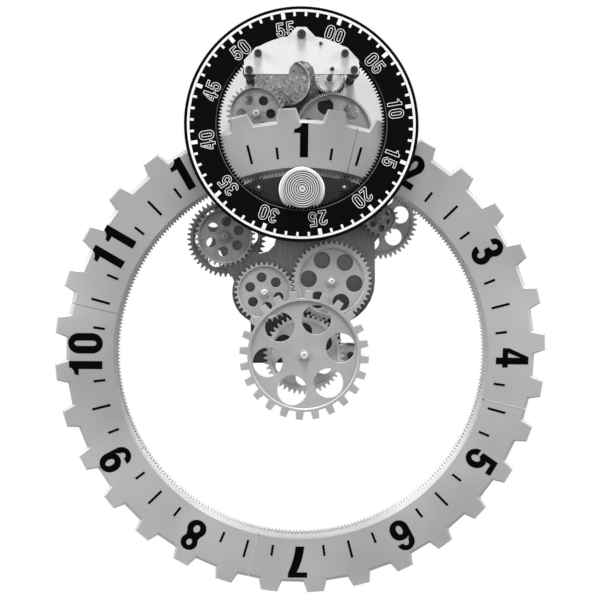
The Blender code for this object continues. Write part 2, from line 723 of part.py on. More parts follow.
def rear_case():
    tray = as_mesh(flat("rear_cover", case_outline(0.0), [], 0.0, CASE_DEPTH, case_black))
    inside = case_outline(CASE_WALL)
    hollow_depth = CASE_DEPTH - CASE_WALL + CUTTER_REACH
    through = CASE_WALL + 2 * CUTTER_REACH
    cut(tray, as_mesh(flat("case_hollow", inside, [], CASE_WALL, hollow_depth, case_black)))
    key = keyhole(HANGER_PLACE)
    cut(tray, as_mesh(flat("case_keyhole", key, [], -CUTTER_REACH, through, case_black)))
    door_size = (BATTERY_LENGTH + 2 * DOOR_MARGIN[0], 2 * BATTERY_R + 2 * DOOR_MARGIN[1])
    window = rectangle(door_size, BATTERY_PLACE)
    cut(tray, as_mesh(flat("case_window", window, [], -CUTTER_REACH, through, case_black)))
    door = rectangle((door_size[0] - 2 * GAP, door_size[1] - 2 * GAP), BATTERY_PLACE)
    flat("battery_door", door, [], 0.0, CASE_WALL, case_black)
    plate_outline = case_outline(0.0)
    flat("back_plate", plate_outline, [], back_plate_back, BACK_PLATE_THICK, pale)
    hanger = rectangle(HANGER_SIZE, (HANGER_PLACE[0], HANGER_PLACE[1] + KEYHOLE_RISE / 2))
    flat("hanger_plate", hanger, [key], CASE_WALL + GAP, HANGER_THICK, steel)


def inside_case():
    tray_size = (BATTERY_LENGTH + 2 * TRAY_WALL + 4 * GAP, 2 * BATTERY_R + 2 * TRAY_WALL + 2 * GAP)
    tray_outline = rectangle(tray_size, BATTERY_PLACE)
    well = rectangle((tray_size[0] - 2 * TRAY_WALL, tray_size[1] - 2 * TRAY_WALL), BATTERY_PLACE)
    tray_back = CASE_WALL + GAP
    tray_front = back_plate_back - GAP
    flat("battery_tray", tray_outline, [well], tray_back, tray_front - tray_back, case_black)
    cell = turned("battery", stepped([(BATTERY_R, BATTERY_LENGTH / 2, -BATTERY_LENGTH / 2)]), steel)
    cell.location = (*BATTERY_PLACE, CASE_WALL + 2 * GAP + BATTERY_R)
    cell.rotation_euler = (0.0, math.radians(90.0), 0.0)
    board_z = CASE_WALL + GAP + BOARD_THICK / 2
    block("circuit_board", (*BOARD_SIZE, BOARD_THICK), (*BOARD_PLACE, board_z), board_green)
    drum = [(DRUM_LEFT, DRUM_WING_CENTRE[1]), (DRUM_LEFT, DRUM_LEFT_TOP)]
    drum += arc(DRUM_R, -90.0, 90.0, 2 * ROUND_STEPS, DRUM_CENTRE)
    drum += arc(DRUM_WING_R, *DRUM_WING_ARC, ROUND_STEPS, DRUM_WING_CENTRE)
    flat("movement_drum", drum, [], drum_back, DRUM_THICK, grey)


def movement_plate():
    """Dark plate in front of the hidden gears, with an ear or a lobe round each arbor."""
    foot_left, foot_bottom, foot_right = PLATE_FOOT
    small_lobe = pitch_radius(SMALL_TEETH) + ADDENDUM + PLATE_MARGIN
    wheel_lobe = pitch_radius(REAR_IDLER_TEETH) + ADDENDUM + PLATE_MARGIN
    right_edge = mid_right[0] + wheel_lobe
    top_angle = math.degrees(math.asin(PLATE_TOP_HALF_WIDTH / plate_top_r))
    foot_turn = math.degrees(math.asin((foot_right - mid_right[0]) / wheel_lobe))
    side_turn = math.degrees(math.asin((mid_left[0] - foot_left) / small_lobe))
    outline = arc(plate_top_r, -top_angle, top_angle, 8)
    outline += arc(PLATE_EAR_R, *RIGHT_EAR_ARC, 4, right)
    outline += [(right_edge, right[1] - PLATE_EAR_DROP)]
    outline += arc(wheel_lobe, 90.0, 180.0 - foot_turn, 6, mid_right)
    outline += [(foot_right, PLATE_LUG[1]), PLATE_LUG, (PLATE_LUG[0], foot_bottom)]
    outline += [(foot_left, foot_bottom)]
    outline += arc(small_lobe, 180.0 + side_turn, MID_LEFT_LOBE_END, 7, mid_left)
    outline += arc(PLATE_EAR_R, *LEFT_EAR_ARC, 4, left)
    spindle = ARBOR_R + RUNNING_GAP
    holes = [bore(spindle, at) for at in (CENTRE, mid_left, mid_right, left, right)]
    holes.append(bore(DRIVE_SHAFT_R + RUNNING_GAP, drive_place))
    holes.append(circle(PLATE_WINDOW_R, ROUND_STEPS, PLATE_WINDOW))
    stud_y = carrier_rise * math.cos(lean)
    for x in (-CARRIER_SPREAD, CARRIER_SPREAD):
        holes.append(bore(CARRIER_STUD_R + STUD_GAP, (x, stud_y)))
    flat("movement_plate", outline, holes, MOVEMENT_PLATE_BACK, MOVEMENT_PLATE_THICK, dark_plate)
    for i, place_at in enumerate(PILLARS):
        pillar = [(PILLAR_R, MOVEMENT_PLATE_BACK - GAP, back_plate_front + GAP)]
        turned(f"pillar_{i + 1}", stepped(pillar), steel, place_at)


def front_plate_outline():
    """Right half first, from the arch up to the top lobe, then its mirror image."""
    edge_start = clock_angle((0.0, 0.0), (EAR_POINTS[0]))
    edge_end = math.degrees(math.asin(TOP_LOBE_HALF_WIDTH / FRONT_PLATE_EDGE_R))
    arch_middle = (0.0, FRONT_PLATE_BOTTOM)
    half = [clock_point(FRONT_PLATE_ARCH_R, a, arch_middle) for a in FRONT_PLATE_ARCH_DEGREES]
    half += [(FRONT_PLATE_SIDE, FRONT_PLATE_BOTTOM), (FRONT_PLATE_SIDE, FRONT_PLATE_SIDE_TOP)]
    half += [EAR_POINTS[1], EAR_POINTS[0]]
    half += arc(FRONT_PLATE_EDGE_R, edge_start - EAR_LEAD_DEG, edge_end, 4)
    half += [TOP_LOBE_TIP]
    mirrored = [(-x, y) for x, y in reversed(half)]
    return half + mirrored + [(0.0, FRONT_PLATE_BOTTOM + FRONT_PLATE_ARCH_R)]


def front_plate():
    """Plate over the top of the minute ring, with the posts and studs behind it."""
    screw_holes = [(x, POST_PLACE[1]) for x in (-POST_PLACE[0], POST_PLACE[0])]
    stud_holes = [TOP_STUD, (-EAR_STUD[0], EAR_STUD[1]), EAR_STUD]
    nose_hole = (setting[0] - minute_centre[0], setting[1] - minute_centre[1])
    every_hole = [*screw_holes, *stud_holes, nose_hole]
    holes = [bore(STUD_SHANK_R + GAP, at) for at in every_hole]
    outline = front_plate_outline()
    back = FRONT_PLATE_BACK
    flat("front_plate", outline, holes, back, FRONT_PLATE_THICK, white, minute_centre)

    roller_back = MINUTE_BACK + (MINUTE_GEAR_THICK - ROLLER_THICK) / 2
    collar_front = roller_back - GAP
    for side, sign in (("left", -1), ("right", 1)):
        at = (sign * POST_PLACE[0], MINUTE_RISE + POST_PLACE[1])
        post = [
            (POST_R, FRONT_PLATE_BACK - GAP, collar_front),
            (POST_COLLAR_R, collar_front, collar_front - POST_COLLAR_THICK),
            (POST_R, collar_front - POST_COLLAR_THICK, back_plate_front + GAP),
        ]
        turned(f"{side}_post", stepped(post), dark_steel, at)
        rim = circle(roller_r, ROUND_STEPS)
        holes = [bore(POST_R + RUNNING_GAP)]
        flat(f"{side}_roller", rim, holes, roller_back, ROLLER_THICK, nylon, at)
        screw = [
            (SCREW_R, front_plate_front + GAP + SCREW_THICK, front_plate_front + GAP),
            (STUD_SHANK_R, front_plate_front + GAP, FRONT_PLATE_BACK),
        ]
        turned(f"{side}_post_screw", stepped(screw), dark_steel, at)

    pad_back = minute_front + RUNNING_GAP
    studs = (("top", TOP_STUD, TOP_STUD_R), ("left_ear", (-EAR_STUD[0], EAR_STUD[1]), EAR_STUD_R))
    studs += (("right_ear", EAR_STUD, EAR_STUD_R),)
    for name, (x, y), radius in studs:
        stud = [
            (radius, front_plate_front + GAP + SCREW_THICK, front_plate_front + GAP),
            (STUD_SHANK_R, front_plate_front + GAP, FRONT_PLATE_BACK - GAP),
            (STUD_PAD_R, FRONT_PLATE_BACK - GAP, pad_back),
        ]
        turned(f"{name}_guide_stud", stepped(stud), dark_steel, (x, MINUTE_RISE + y))


clear_scene()
parts = new_collection("industrial_clock")
cutters = new_collection("cutters")
lean = math.radians(HOUR_LEAN_DEG)
hanging_drop = (0.0, 0.0, -HANGER_PLACE[1] - KEYHOLE_RISE)
face_frame = new_empty("face_frame", None, hanging_drop, math.radians(90.0))
hour_axis = new_empty("hour_axis", face_frame, (0.0, 0.0, HOUR_FRONT), lean)

satin = new_material("satin_aluminium", (0.62, 0.62, 0.61), 0.38, 1.0)
gear_metal = new_material("gear_aluminium", (0.50, 0.50, 0.50), 0.42, 0.9)
steel = new_material("bright_steel", (0.60, 0.60, 0.60), 0.25, 1.0)
dark_steel = new_material("dark_steel", (0.06, 0.06, 0.06), 0.35, 0.8)
black = new_material("black_enamel", (0.008, 0.008, 0.008), 0.45, 0.0)
case_black = new_material("case_plastic", (0.03, 0.03, 0.03), 0.55, 0.0)
dark_plate = new_material("grey_plate", (0.12, 0.12, 0.12), 0.5, 0.6)
grey = new_material("grey_housing", (0.35, 0.35, 0.35), 0.45, 0.4)
pale = new_material("pale_plate", (0.80, 0.80, 0.80), 0.45, 0.2)
white = new_material("white_plate", (0.88, 0.88, 0.88), 0.30, 0.0)
nylon = new_material("black_nylon", (0.03, 0.03, 0.03), 0.5, 0.0)
board_green = new_material("circuit_board_green", (0.03, 0.14, 0.06), 0.5, 0.0)

hour_faces()
hour_rims()
minute_ring()
minute_drive()
hour_carriers()
lower_train()
coarse_gear()
upper_train()
rear_case()
inside_case()
movement_plate()
front_plate()
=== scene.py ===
import json
import math

import bmesh
import bpy
from mathutils import Euler, Matrix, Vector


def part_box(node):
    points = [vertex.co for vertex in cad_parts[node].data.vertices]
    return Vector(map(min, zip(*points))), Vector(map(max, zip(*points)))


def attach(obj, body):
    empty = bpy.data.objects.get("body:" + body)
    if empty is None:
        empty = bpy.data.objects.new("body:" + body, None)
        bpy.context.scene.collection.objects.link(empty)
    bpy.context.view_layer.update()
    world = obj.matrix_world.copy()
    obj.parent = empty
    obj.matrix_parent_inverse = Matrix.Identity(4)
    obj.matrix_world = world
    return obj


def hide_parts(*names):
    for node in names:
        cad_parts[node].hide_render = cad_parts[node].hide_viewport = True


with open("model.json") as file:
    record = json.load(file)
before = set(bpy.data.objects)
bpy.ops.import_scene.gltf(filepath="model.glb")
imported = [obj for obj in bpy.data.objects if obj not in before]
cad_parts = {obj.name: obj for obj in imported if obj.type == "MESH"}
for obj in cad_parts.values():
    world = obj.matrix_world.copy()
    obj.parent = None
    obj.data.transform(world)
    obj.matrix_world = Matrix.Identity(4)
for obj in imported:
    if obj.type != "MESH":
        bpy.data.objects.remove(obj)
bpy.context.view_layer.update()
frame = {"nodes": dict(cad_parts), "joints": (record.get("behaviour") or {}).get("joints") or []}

# Camera: in front of the clock, level with the gears, at the photograph's distance and angle.
# It has no shift and no depth of field.
CAMERA_LENS = 56.54
CAMERA_SPOT = (-0.0330, -1.1183, -0.2509)
CAMERA_TURN = (math.radians(90.0) - 0.0202, -0.0289, -0.006)
camera_data = bpy.data.cameras.new("camera")
camera_data.sensor_width = 36.0
camera_data.lens = CAMERA_LENS
camera = bpy.data.objects.new("camera", camera_data)
bpy.context.scene.collection.objects.link(camera)
camera_turn = Euler(CAMERA_TURN, "ZYX").to_matrix().to_4x4()
camera.matrix_world = Matrix.Translation(CAMERA_SPOT) @ camera_turn
bpy.context.scene.camera = camera


# Rear case: a black moulded plastic tray that holds the movement, with its textured back to the
# wall. Pieces are drawn facing the viewer: x to the right, y up, z out from the wall.
HANGING_RISE = 0.338
FACE = Matrix.Translation((0.0, 0.0, -HANGING_RISE)) @ Matrix.Rotation(math.radians(90.0), 4, "X")
CASE_EDGE = 0.0012
EDGE_ANGLE = 30.0
SHARP_ANGLE = 50.0
WELD = 0.000001


def at(x, y, depth=0.0):
    """The place of a piece whose middle is here and whose back is this far from the wall."""
    return FACE @ Matrix.Translation((x, y, depth))


def new_piece(name, work, place, material, body, slot, *nodes):
    """Turns the mesh into a finished object, which rides on its body and stands for the nodes."""
    bmesh.ops.remove_doubles(work, verts=work.verts, dist=WELD)
    bmesh.ops.transform(work, matrix=place, verts=work.verts)
    bmesh.ops.recalc_face_normals(work, faces=work.faces)
    mesh = bpy.data.meshes.new(name)
    work.to_mesh(mesh)
    work.free()
    mesh.materials.append(material)
    mesh.shade_smooth()
    mesh.set_sharp_from_angle(angle=math.radians(EDGE_ANGLE))
    obj = bpy.data.objects.new(name, mesh)
    bpy.context.scene.collection.objects.link(obj)
    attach(obj, body)
    if nodes:
        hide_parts(*nodes)
    return obj


def node_copy(node):
    """The CAD node's mesh, merged, with its flat faces whole again."""
    work = bmesh.new()
    work.from_mesh(frame["nodes"][node].data)
    bmesh.ops.remove_doubles(work, verts=work.verts, dist=WELD)
    bmesh.ops.dissolve_limit(work, angle_limit=math.radians(1.0), verts=work.verts, edges=work.edges)
    return work


def bevel_sharp(work, width, segments=2):
    """Rounds the edges where two faces meet sharply."""
    least = math.radians(SHARP_ANGLE)
    sharp = [edge for edge in work.edges if edge.is_manifold and edge.calc_face_angle(0.0) > least]
    bmesh.ops.bevel(
        work, geom=sharp, offset=width, segments=segments, profile=0.5, affect="EDGES",
        material=-1, clamp_overlap=True,
    )


def grey(level):
    return (level, level, level)


def shader_of(material):
    return material.node_tree.nodes["Principled BSDF"]


def new_material(name, colour, roughness, metallic=0.0, coat=0.0, shine=0.5):
    """A material with one finish all over, before its pattern is added."""
    material = bpy.data.materials.new(name)
    material.use_nodes = True
    shader = shader_of(material)
    shader.inputs["Base Color"].default_value = (*colour, 1.0)
    shader.inputs["Roughness"].default_value = roughness
    shader.inputs["Metallic"].default_value = metallic
    shader.inputs["Coat Weight"].default_value = coat
    shader.inputs["Specular IOR Level"].default_value = shine
    return material


def add_node(material, kind, **values):
    """Adds a node, with its settings and its inputs."""
    node = material.node_tree.nodes.new(kind)
    for name, value in values.items():
        if name in node.inputs:
            node.inputs[name].default_value = value
        else:
            setattr(node, name, value)
    return node


def link(material, start, output, end, name):
    material.node_tree.links.new(start.outputs[output], end.inputs[name])


def noise_at(material, scale, detail=3.0, stretch=(1.0, 1.0, 1.0)):
    """Noise over the object's own place. The scale is in spots to a metre."""
    place = add_node(material, "ShaderNodeTexCoord")
    mapping = add_node(material, "ShaderNodeMapping")
    mapping.inputs["Scale"].default_value = stretch
    noise = add_node(material, "ShaderNodeTexNoise", Scale=scale, Detail=detail)
    link(material, place, "Object", mapping, "Vector")
    link(material, mapping, "Vector", noise, "Vector")
    return noise


def vary_colour(material, noise, dark, light, low=0.3, high=0.7):
    """Lets the noise run the colour between two shades."""
    ramp = add_node(material, "ShaderNodeValToRGB")
    ramp.color_ramp.elements[0].position = low
    ramp.color_ramp.elements[0].color = (*dark, 1.0)
    ramp.color_ramp.elements[1].position = high
    ramp.color_ramp.elements[1].color = (*light, 1.0)
    link(material, noise, "Fac", ramp, "Fac")
    link(material, ramp, "Color", shader_of(material), "Base Color")
    return ramp


def vary_roughness(material, noise, low, high):
    spread = add_node(material, "ShaderNodeMapRange")
    spread.inputs["To Min"].default_value = low
    spread.inputs["To Max"].default_value = high
    link(material, noise, "Fac", spread, "Value")
    link(material, spread, "Result", shader_of(material), "Roughness")


def raise_grain(material, noise, strength, distance):
    """Lets the noise stand up from the surface by this distance in metres."""
    bump = add_node(material, "ShaderNodeBump", Strength=strength, Distance=distance)
    link(material, noise, "Fac", bump, "Height")
    link(material, bump, "Normal", shader_of(material), "Normal")


case_plastic = new_material("moulded_black_plastic", grey(0.03), 0.55)
grain = noise_at(case_plastic, 1800.0)
vary_colour(case_plastic, grain, (0.022, 0.022, 0.023), (0.040, 0.040, 0.041))
vary_roughness(case_plastic, grain, 0.45, 0.65)
raise_grain(case_plastic, grain, 0.5, 0.0002)

case = node_copy("rear_cover")
bevel_sharp(case, CASE_EDGE)
new_piece("case_shell", case, Matrix(), case_plastic, "frame", "case_plastic", "rear_cover")

# Battery door: a moulded plate of the case's plastic, clipped into the back. A shallow panel is
# pressed into its outside, with a plain border round it.
DOOR_EDGE = 0.0004
DOOR_BORDER = 0.0030
PANEL_DEPTH = 0.0003
FACES_WALL = 0.999
door = node_copy("battery_door")
bevel_sharp(door, DOOR_EDGE)
door_back = [face for face in door.faces if face.normal.y > FACES_WALL]
bmesh.ops.inset_region(
    door, faces=door_back, thickness=DOOR_BORDER, depth=-PANEL_DEPTH, use_even_offset=True,
)
new_piece("battery_lid", door, Matrix(), case_plastic, "frame", "case_plastic", "battery_door")

# Inside the case: a steel hanger behind the keyhole, a battery in its tray and the board that
# drives the motor.


def material_on(material, *nodes):
    """Gives carried over CAD nodes their finish."""
    for node in nodes:
        slots = frame["nodes"][node].data.materials
        slots.clear()
        slots.append(material)


zinc_steel = new_material("zinc_plated_steel", grey(0.60), 0.3, 1.0)
streaks = noise_at(zinc_steel, 220.0, 4.0, (1.0, 1.0, 6.0))
vary_colour(zinc_steel, streaks, grey(0.50), (0.68, 0.68, 0.69))
vary_roughness(zinc_steel, streaks, 0.22, 0.4)
material_on(zinc_steel, "hanger_plate", "pillar_1", "pillar_2", "pillar_3", "battery")
material_on(case_plastic, "battery_tray")
board_green = new_material("green_circuit_board", (0.03, 0.14, 0.06), 0.4)
tracks = noise_at(board_green, 260.0, 1.0)
vary_colour(board_green, tracks, (0.02, 0.10, 0.04), (0.04, 0.18, 0.08), 0.48, 0.52)
material_on(board_green, "circuit_board")

# Back plate: a pale lacquered steel sheet over the front of the case, with a tongue that hangs
# behind the gears. The drum is fixed to it, and the pillars stand on it.
SHEET_EDGE = 0.0003


def clouded(name, level, roughness, shades, scale, detail=3.0, spread=(), grain=(), **finish):
    """A grey that noise runs between two shades, and in roughness and grain where they are given."""
    material = new_material(name, grey(level), roughness, **finish)
    noise = noise_at(material, scale, detail)
    vary_colour(material, noise, grey(shades[0]), grey(shades[1]))
    if spread:
        vary_roughness(material, noise, *spread)
    if grain:
        raise_grain(material, noise, *grain)
    return material


pale_lacquer = clouded("pale_lacquer", 0.80, 0.45, (0.80, 0.86), 9.0)
vary_roughness(pale_lacquer, noise_at(pale_lacquer, 400.0), 0.4, 0.5)
backing = node_copy("back_plate")
bevel_sharp(backing, SHEET_EDGE, 1)
new_piece("backing_sheet", backing, Matrix(), pale_lacquer, "frame", "pale_plate", "back_plate")

# Movement drum: a cast housing fixed to the back plate behind the upper gears. Its base has
# painted shade that darkens it towards the foot. What is cast in front of the base is a lighter,
# mottled grey, with painted shade at its top.
DRUM_MIDDLE = (-0.0148, 0.3158)
DRUM_BACK = 0.0248
DRUM_BASE_THICK = 0.0034
DRUM_FRONT = 0.0303
DRUM_EDGE = 0.0004
cast_grey = new_material("cast_grey_metal", grey(0.35), 0.45, 0.3)
mottle = noise_at(cast_grey, 330.0, 3.0)
specks = vary_colour(cast_grey, mottle, grey(0.10), grey(0.85), 0.30, 0.74)
for position, shade in ((0.38, 0.27), (0.62, 0.37)):
    specks.color_ramp.elements.new(position).color = (shade, shade, shade, 1.0)
vary_roughness(cast_grey, mottle, 0.3, 0.55)
raise_grain(cast_grey, mottle, 0.3, 0.0003)


def shade_by_height(material, ramp, low, high, shares):
    """Painted light and shade: scales the ramp's colour by the height in the frame, in even steps from low
    to high.
    """
    height = add_node(material, "ShaderNodeSeparateXYZ")
    link(material, add_node(material, "ShaderNodeTexCoord"), "Object", height, "Vector")
    rise = add_node(material, "ShaderNodeMapRange")
    rise.inputs["From Min"].default_value = low
    rise.inputs["From Max"].default_value = high
    steps = add_node(material, "ShaderNodeValToRGB")
    while len(steps.color_ramp.elements) < len(shares):
        steps.color_ramp.elements.new(0.5)
    for i, share in enumerate(shares):
        steps.color_ramp.elements[i].color = (share, share, share, 1.0)
        steps.color_ramp.elements[i].position = i / (len(shares) - 1)
    link(material, height, "Z", rise, "Value")
    link(material, rise, "Result", steps, "Fac")
    scaled = add_node(material, "ShaderNodeVectorMath", operation="MULTIPLY")
    material.node_tree.links.new(ramp.outputs["Color"], scaled.inputs[0])
    material.node_tree.links.new(steps.outputs["Color"], scaled.inputs[1])
    link(material, scaled, "Vector", shader_of(material), "Base Color")


# Painted shade: the cast grey darkens towards the top of the drum's arch.
shade_by_height(cast_grey, specks, -0.018, 0.002, (1.0, 0.66))
base_grey = new_material("cast_base_painted_shade", grey(0.25), 0.5, shine=0.3)
base_mottle = noise_at(base_grey, 300.0, 4.0)
base_specks = vary_colour(base_grey, base_mottle, grey(0.10), grey(0.36), 0.50, 0.75)
# Painted shade: the base darkens towards its foot.
shade_by_height(base_grey, base_specks, -0.040, -0.033, (0.15, 1.0))


def fill(work, *loops):
    """Fills the flat space between closed lines, and returns its faces."""
    edges = [edge for loop in loops for edge in loop]
    made = bmesh.ops.triangle_fill(work, use_beauty=True, edges=edges)
    return [face for face in made["geom"] if isinstance(face, bmesh.types.BMFace)]


def cut_at(work, depth, keep_front):
    """Cuts a piece in place across at this distance from the wall, and keeps one side closed."""
    parts = [*work.verts, *work.edges, *work.faces]
    made = bmesh.ops.bisect_plane(
        work, geom=parts, plane_co=(0.0, -depth, 0.0), plane_no=(0.0, -1.0, 0.0),
        clear_outer=not keep_front, clear_inner=keep_front,
    )
    cut = [part for part in made["geom_cut"] if isinstance(part, bmesh.types.BMEdge)]
    fill(work, cut)


drum_base = node_copy("movement_drum")
cut_at(drum_base, DRUM_BACK + DRUM_BASE_THICK, False)
bevel_sharp(drum_base, DRUM_EDGE, 1)
new_piece("drum_base", drum_base, Matrix(), base_grey, "frame", "grey_housing", "movement_drum")

# Dish of the drum: a thin cast floor, open to the left, with a bright rim round its right side
# and a turned boss low in it. They are cast in one with the base.
DISH_R = 0.0252
DISH_LEFT = -0.0525
DISH_LOW = 0.3010
DISH_THICK = 0.0006
DISH_EDGE = 0.0003
DISH_STEPS = 48
DISH_FOOT = DRUM_BACK + DRUM_BASE_THICK - 0.0001
BOSS_FOOT = DRUM_BACK + DRUM_BASE_THICK + 0.0007
BOSS_SPOT = (-0.0137, 0.3030)


def clock_point(radius, degrees, middle=(0.0, 0.0)):
    """The point at this radius and this many degrees clockwise from the top."""
    angle = math.radians(degrees)
    return (middle[0] + radius * math.sin(angle), middle[1] + radius * math.cos(angle))


def lift(work, faces, rise):
    """Extrudes the faces towards the viewer and returns them in their new place."""
    edges = list(dict.fromkeys(edge for face in faces for edge in face.edges))
    made = bmesh.ops.extrude_face_region(work, geom=[*faces, *edges])["geom"]
    verts = [part for part in made if isinstance(part, bmesh.types.BMVert)]
    bmesh.ops.translate(work, vec=(0.0, 0.0, rise), verts=verts)
    return [part for part in made if isinstance(part, bmesh.types.BMFace)]


def chamfer(work, faces, width):
    """Draws the faces in by the width while raising them by it."""
    bmesh.ops.recalc_face_normals(work, faces=work.faces)
    bmesh.ops.inset_region(work, faces=faces, thickness=width, depth=width, use_even_offset=True)


def closed_loop(work, points):
    """A closed line through the points."""
    verts = [work.verts.new((*point, 0.0)) for point in points]
    return [work.edges.new((verts[i - 1], verts[i])) for i in range(len(verts))]


dish_drop = DRUM_MIDDLE[1] - DISH_LOW
dish_turn = 180.0 + math.degrees(math.acos(dish_drop / DISH_R))
dish_points = []
for i in range(DISH_STEPS + 1):
    dish_points.append(clock_point(DISH_R, dish_turn * i / DISH_STEPS, DRUM_MIDDLE))
dish_points += [(DISH_LEFT, DISH_LOW), (DISH_LEFT, DRUM_MIDDLE[1] + DISH_R)]
dish = bmesh.new()
dish_faces = fill(dish, closed_loop(dish, dish_points))
chamfer(dish, lift(dish, dish_faces, DISH_THICK), DISH_EDGE)
new_piece("drum_dish", dish, at(0.0, 0.0, DISH_FOOT), cast_grey, "frame", "grey_housing")
cast_bright = clouded("bright_cast_rim", 0.45, 0.4, (0.28, 0.60), 300.0, 4.0, metallic=0.3)
rim_height = DRUM_FRONT - DRUM_BACK - DRUM_BASE_THICK
rim_section = (
    (DISH_R - 0.0002, 0.0), (DISH_R, rim_height - 0.0004), (DISH_R + 0.0004, rim_height),
    (DISH_R + 0.0012, rim_height - 0.0003), (DISH_R + 0.0016, 0.0),
)
rim = bmesh.new()
rim_verts = [rim.verts.new((0.0, radius, height)) for radius, height in rim_section]
rim_edges = [rim.edges.new((rim_verts[i - 1], rim_verts[i])) for i in range(len(rim_verts))]
bmesh.ops.spin(
    rim, geom=rim_verts + rim_edges, cent=(0.0, 0.0, 0.0), axis=(0.0, 0.0, -1.0),
    angle=math.radians(dish_turn), steps=56,
)
bmesh.ops.holes_fill(rim, edges=rim.edges, sides=0)
rim_place = at(*DRUM_MIDDLE, DISH_FOOT)
new_piece("drum_dish_rim", rim, rim_place, cast_bright, "frame", "grey_housing")


def spun(profile, steps=64, ring=False):
    """A turned shape, drawn from its front middle round to its back middle, or a whole ring."""
    work = bmesh.new()
    verts = [work.verts.new((radius, 0.0, height)) for radius, height in profile]
    edges = [work.edges.new(pair) for pair in zip(verts, verts[1:])]
    if ring:
        edges.append(work.edges.new((verts[-1], verts[0])))
    bmesh.ops.spin(
        work, geom=verts + edges, cent=(0.0, 0.0, 0.0), axis=(0.0, 0.0, 1.0),
        angle=math.radians(360.0), steps=steps, use_merge=True,
    )
    bmesh.ops.remove_doubles(work, verts=work.verts, dist=WELD)
    return work


boss_section = (
    (0.0, 0.0012), (0.0010, 0.0012), (0.0014, 0.0003), (0.0032, 0.0002), (0.0036, 0.0010),
    (0.0046, 0.0010), (0.0050, 0.0002), (0.0050, 0.0), (0.0, 0.0),
)
boss = spun(boss_section, 40)
new_piece("drum_boss", boss, at(*BOSS_SPOT, BOSS_FOOT), cast_bright, "frame", "grey_housing")

# Beside the drum: an ear of the casting behind each upper wheel, and a dark ring on the back
# plate behind the small pale gear.
EAR_THICK = 0.0036
EAR_EDGE = 0.0006
EARS = {
    "left": ((-0.0735, 0.2635), (-0.0735, 0.3010), (-0.0570, 0.3010), (-0.0570, 0.2635)),
    "right": (
        (0.0500, 0.2620), (0.0500, 0.2960), (0.0600, 0.2940), (0.0700, 0.2840), (0.0740, 0.2720),
        (0.0740, 0.2620),
    ),
}
for side, corners in EARS.items():
    ear = bmesh.new()
    lift(ear, fill(ear, closed_loop(ear, corners)), EAR_THICK)
    bevel_sharp(ear, EAR_EDGE)
    new_piece(f"drum_{side}_ear", ear, at(0.0, 0.0, DRUM_BACK), cast_grey, "frame", "grey_housing")
back_ring_grey = clouded("dark_back_ring", 0.03, 0.8, (0.02, 0.06), 1500.0, 4.0, grain=(0.6, 0.0004), shine=0.1)
back_ring_section = (
    (0.0128, 0.0), (0.0128, 0.0012), (0.0134, 0.0016), (0.0178, 0.0016), (0.0185, 0.001),
    (0.0185, 0.0),
)
dark_ring = spun(back_ring_section, 64, ring=True)
axles = {}
for joint in frame["joints"]:
    axles[joint["child"]] = (joint["pos_m"][0], joint["pos_m"][2] + HANGING_RISE)
new_piece("dark_ring", dark_ring, at(*axles["setting_train"], DRUM_BACK), back_ring_grey, "frame", "black_nylon")

# Movement plate: a dark brushed steel sheet, screwed to three pillars, which carries the arbors.
# A pale cast lug is fixed to its front with a black screw and a bar, behind the coarse gear.
PLATE_EDGE = 0.0004
LUG_THICK = 0.0012
LUG_PART_FOOT = 0.0010
BAR_THICK = 0.0016
LUG_SCREW_SPOT = (0.0545, 0.0030)
dark_sheet = new_material("dark_sheet_metal", grey(0.10), 0.45, 0.4)
brushing = noise_at(dark_sheet, 60.0, 5.0, (8.0, 1.0, 1.0))
plate_shades = vary_colour(dark_sheet, brushing, grey(0.085), grey(0.13))
vary_roughness(dark_sheet, brushing, 0.35, 0.55)
# Painted light and shade by height: the plate darkens towards its top and its foot, and is lighter
# between.
shade_by_height(dark_sheet, plate_shades, -0.300, -0.175, (0.2, 0.6, 1.4, 1.1, 0.1))
plate = node_copy("movement_plate")
bevel_sharp(plate, PLATE_EDGE, 1)
new_piece("gear_plate", plate, Matrix(), dark_sheet, "frame", "grey_plate", "movement_plate")
plate_front = -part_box("movement_plate")[0].y
lug_grey = clouded("pale_cast_lug", 0.50, 0.5, (0.40, 0.60), 250.0, 4.0)
lug = bmesh.new()
lug_corners = [(0.0432, -0.0048), (0.0432, 0.0168), (0.0598, 0.0168), (0.0598, -0.0048)]
lift(lug, fill(lug, closed_loop(lug, lug_corners)), LUG_THICK)
bevel_sharp(lug, SHEET_EDGE, 1)
new_piece("lug_cover", lug, at(0.0, 0.0, plate_front), lug_grey, "frame", "grey_plate")
lug_black = new_material("black_cast_steel", grey(0.02), 0.55, shine=0.2)
black_mottle = noise_at(lug_black, 320.0, 4.0)
vary_colour(lug_black, black_mottle, grey(0.02), grey(0.09), 0.35, 0.7)
raise_grain(lug_black, black_mottle, 0.5, 0.0004)
head_profile = (
    (0.0, 0.0012), (0.0014, 0.0012), (0.0018, 0.0020), (0.0036, 0.0020), (0.0041, 0.0014),
    (0.0041, 0.0), (0.0, 0.0),
)
lug_head = spun(head_profile, 32)
screw_place = at(*LUG_SCREW_SPOT, plate_front + LUG_PART_FOOT)
new_piece("lug_screw", lug_head, screw_place, lug_black, "frame", "dark_steel")
bar = bmesh.new()
bar_corners = [(0.0500, 0.0150), (0.0500, 0.0172), (0.0598, 0.0164), (0.0598, 0.0142)]
lift(bar, fill(bar, closed_loop(bar, bar_corners)), BAR_THICK)
bevel_sharp(bar, SHEET_EDGE, 1)
bar_place = at(0.0, 0.0, plate_front + LUG_PART_FOOT)
new_piece("lug_bar", bar, bar_place, lug_black, "frame", "dark_steel")

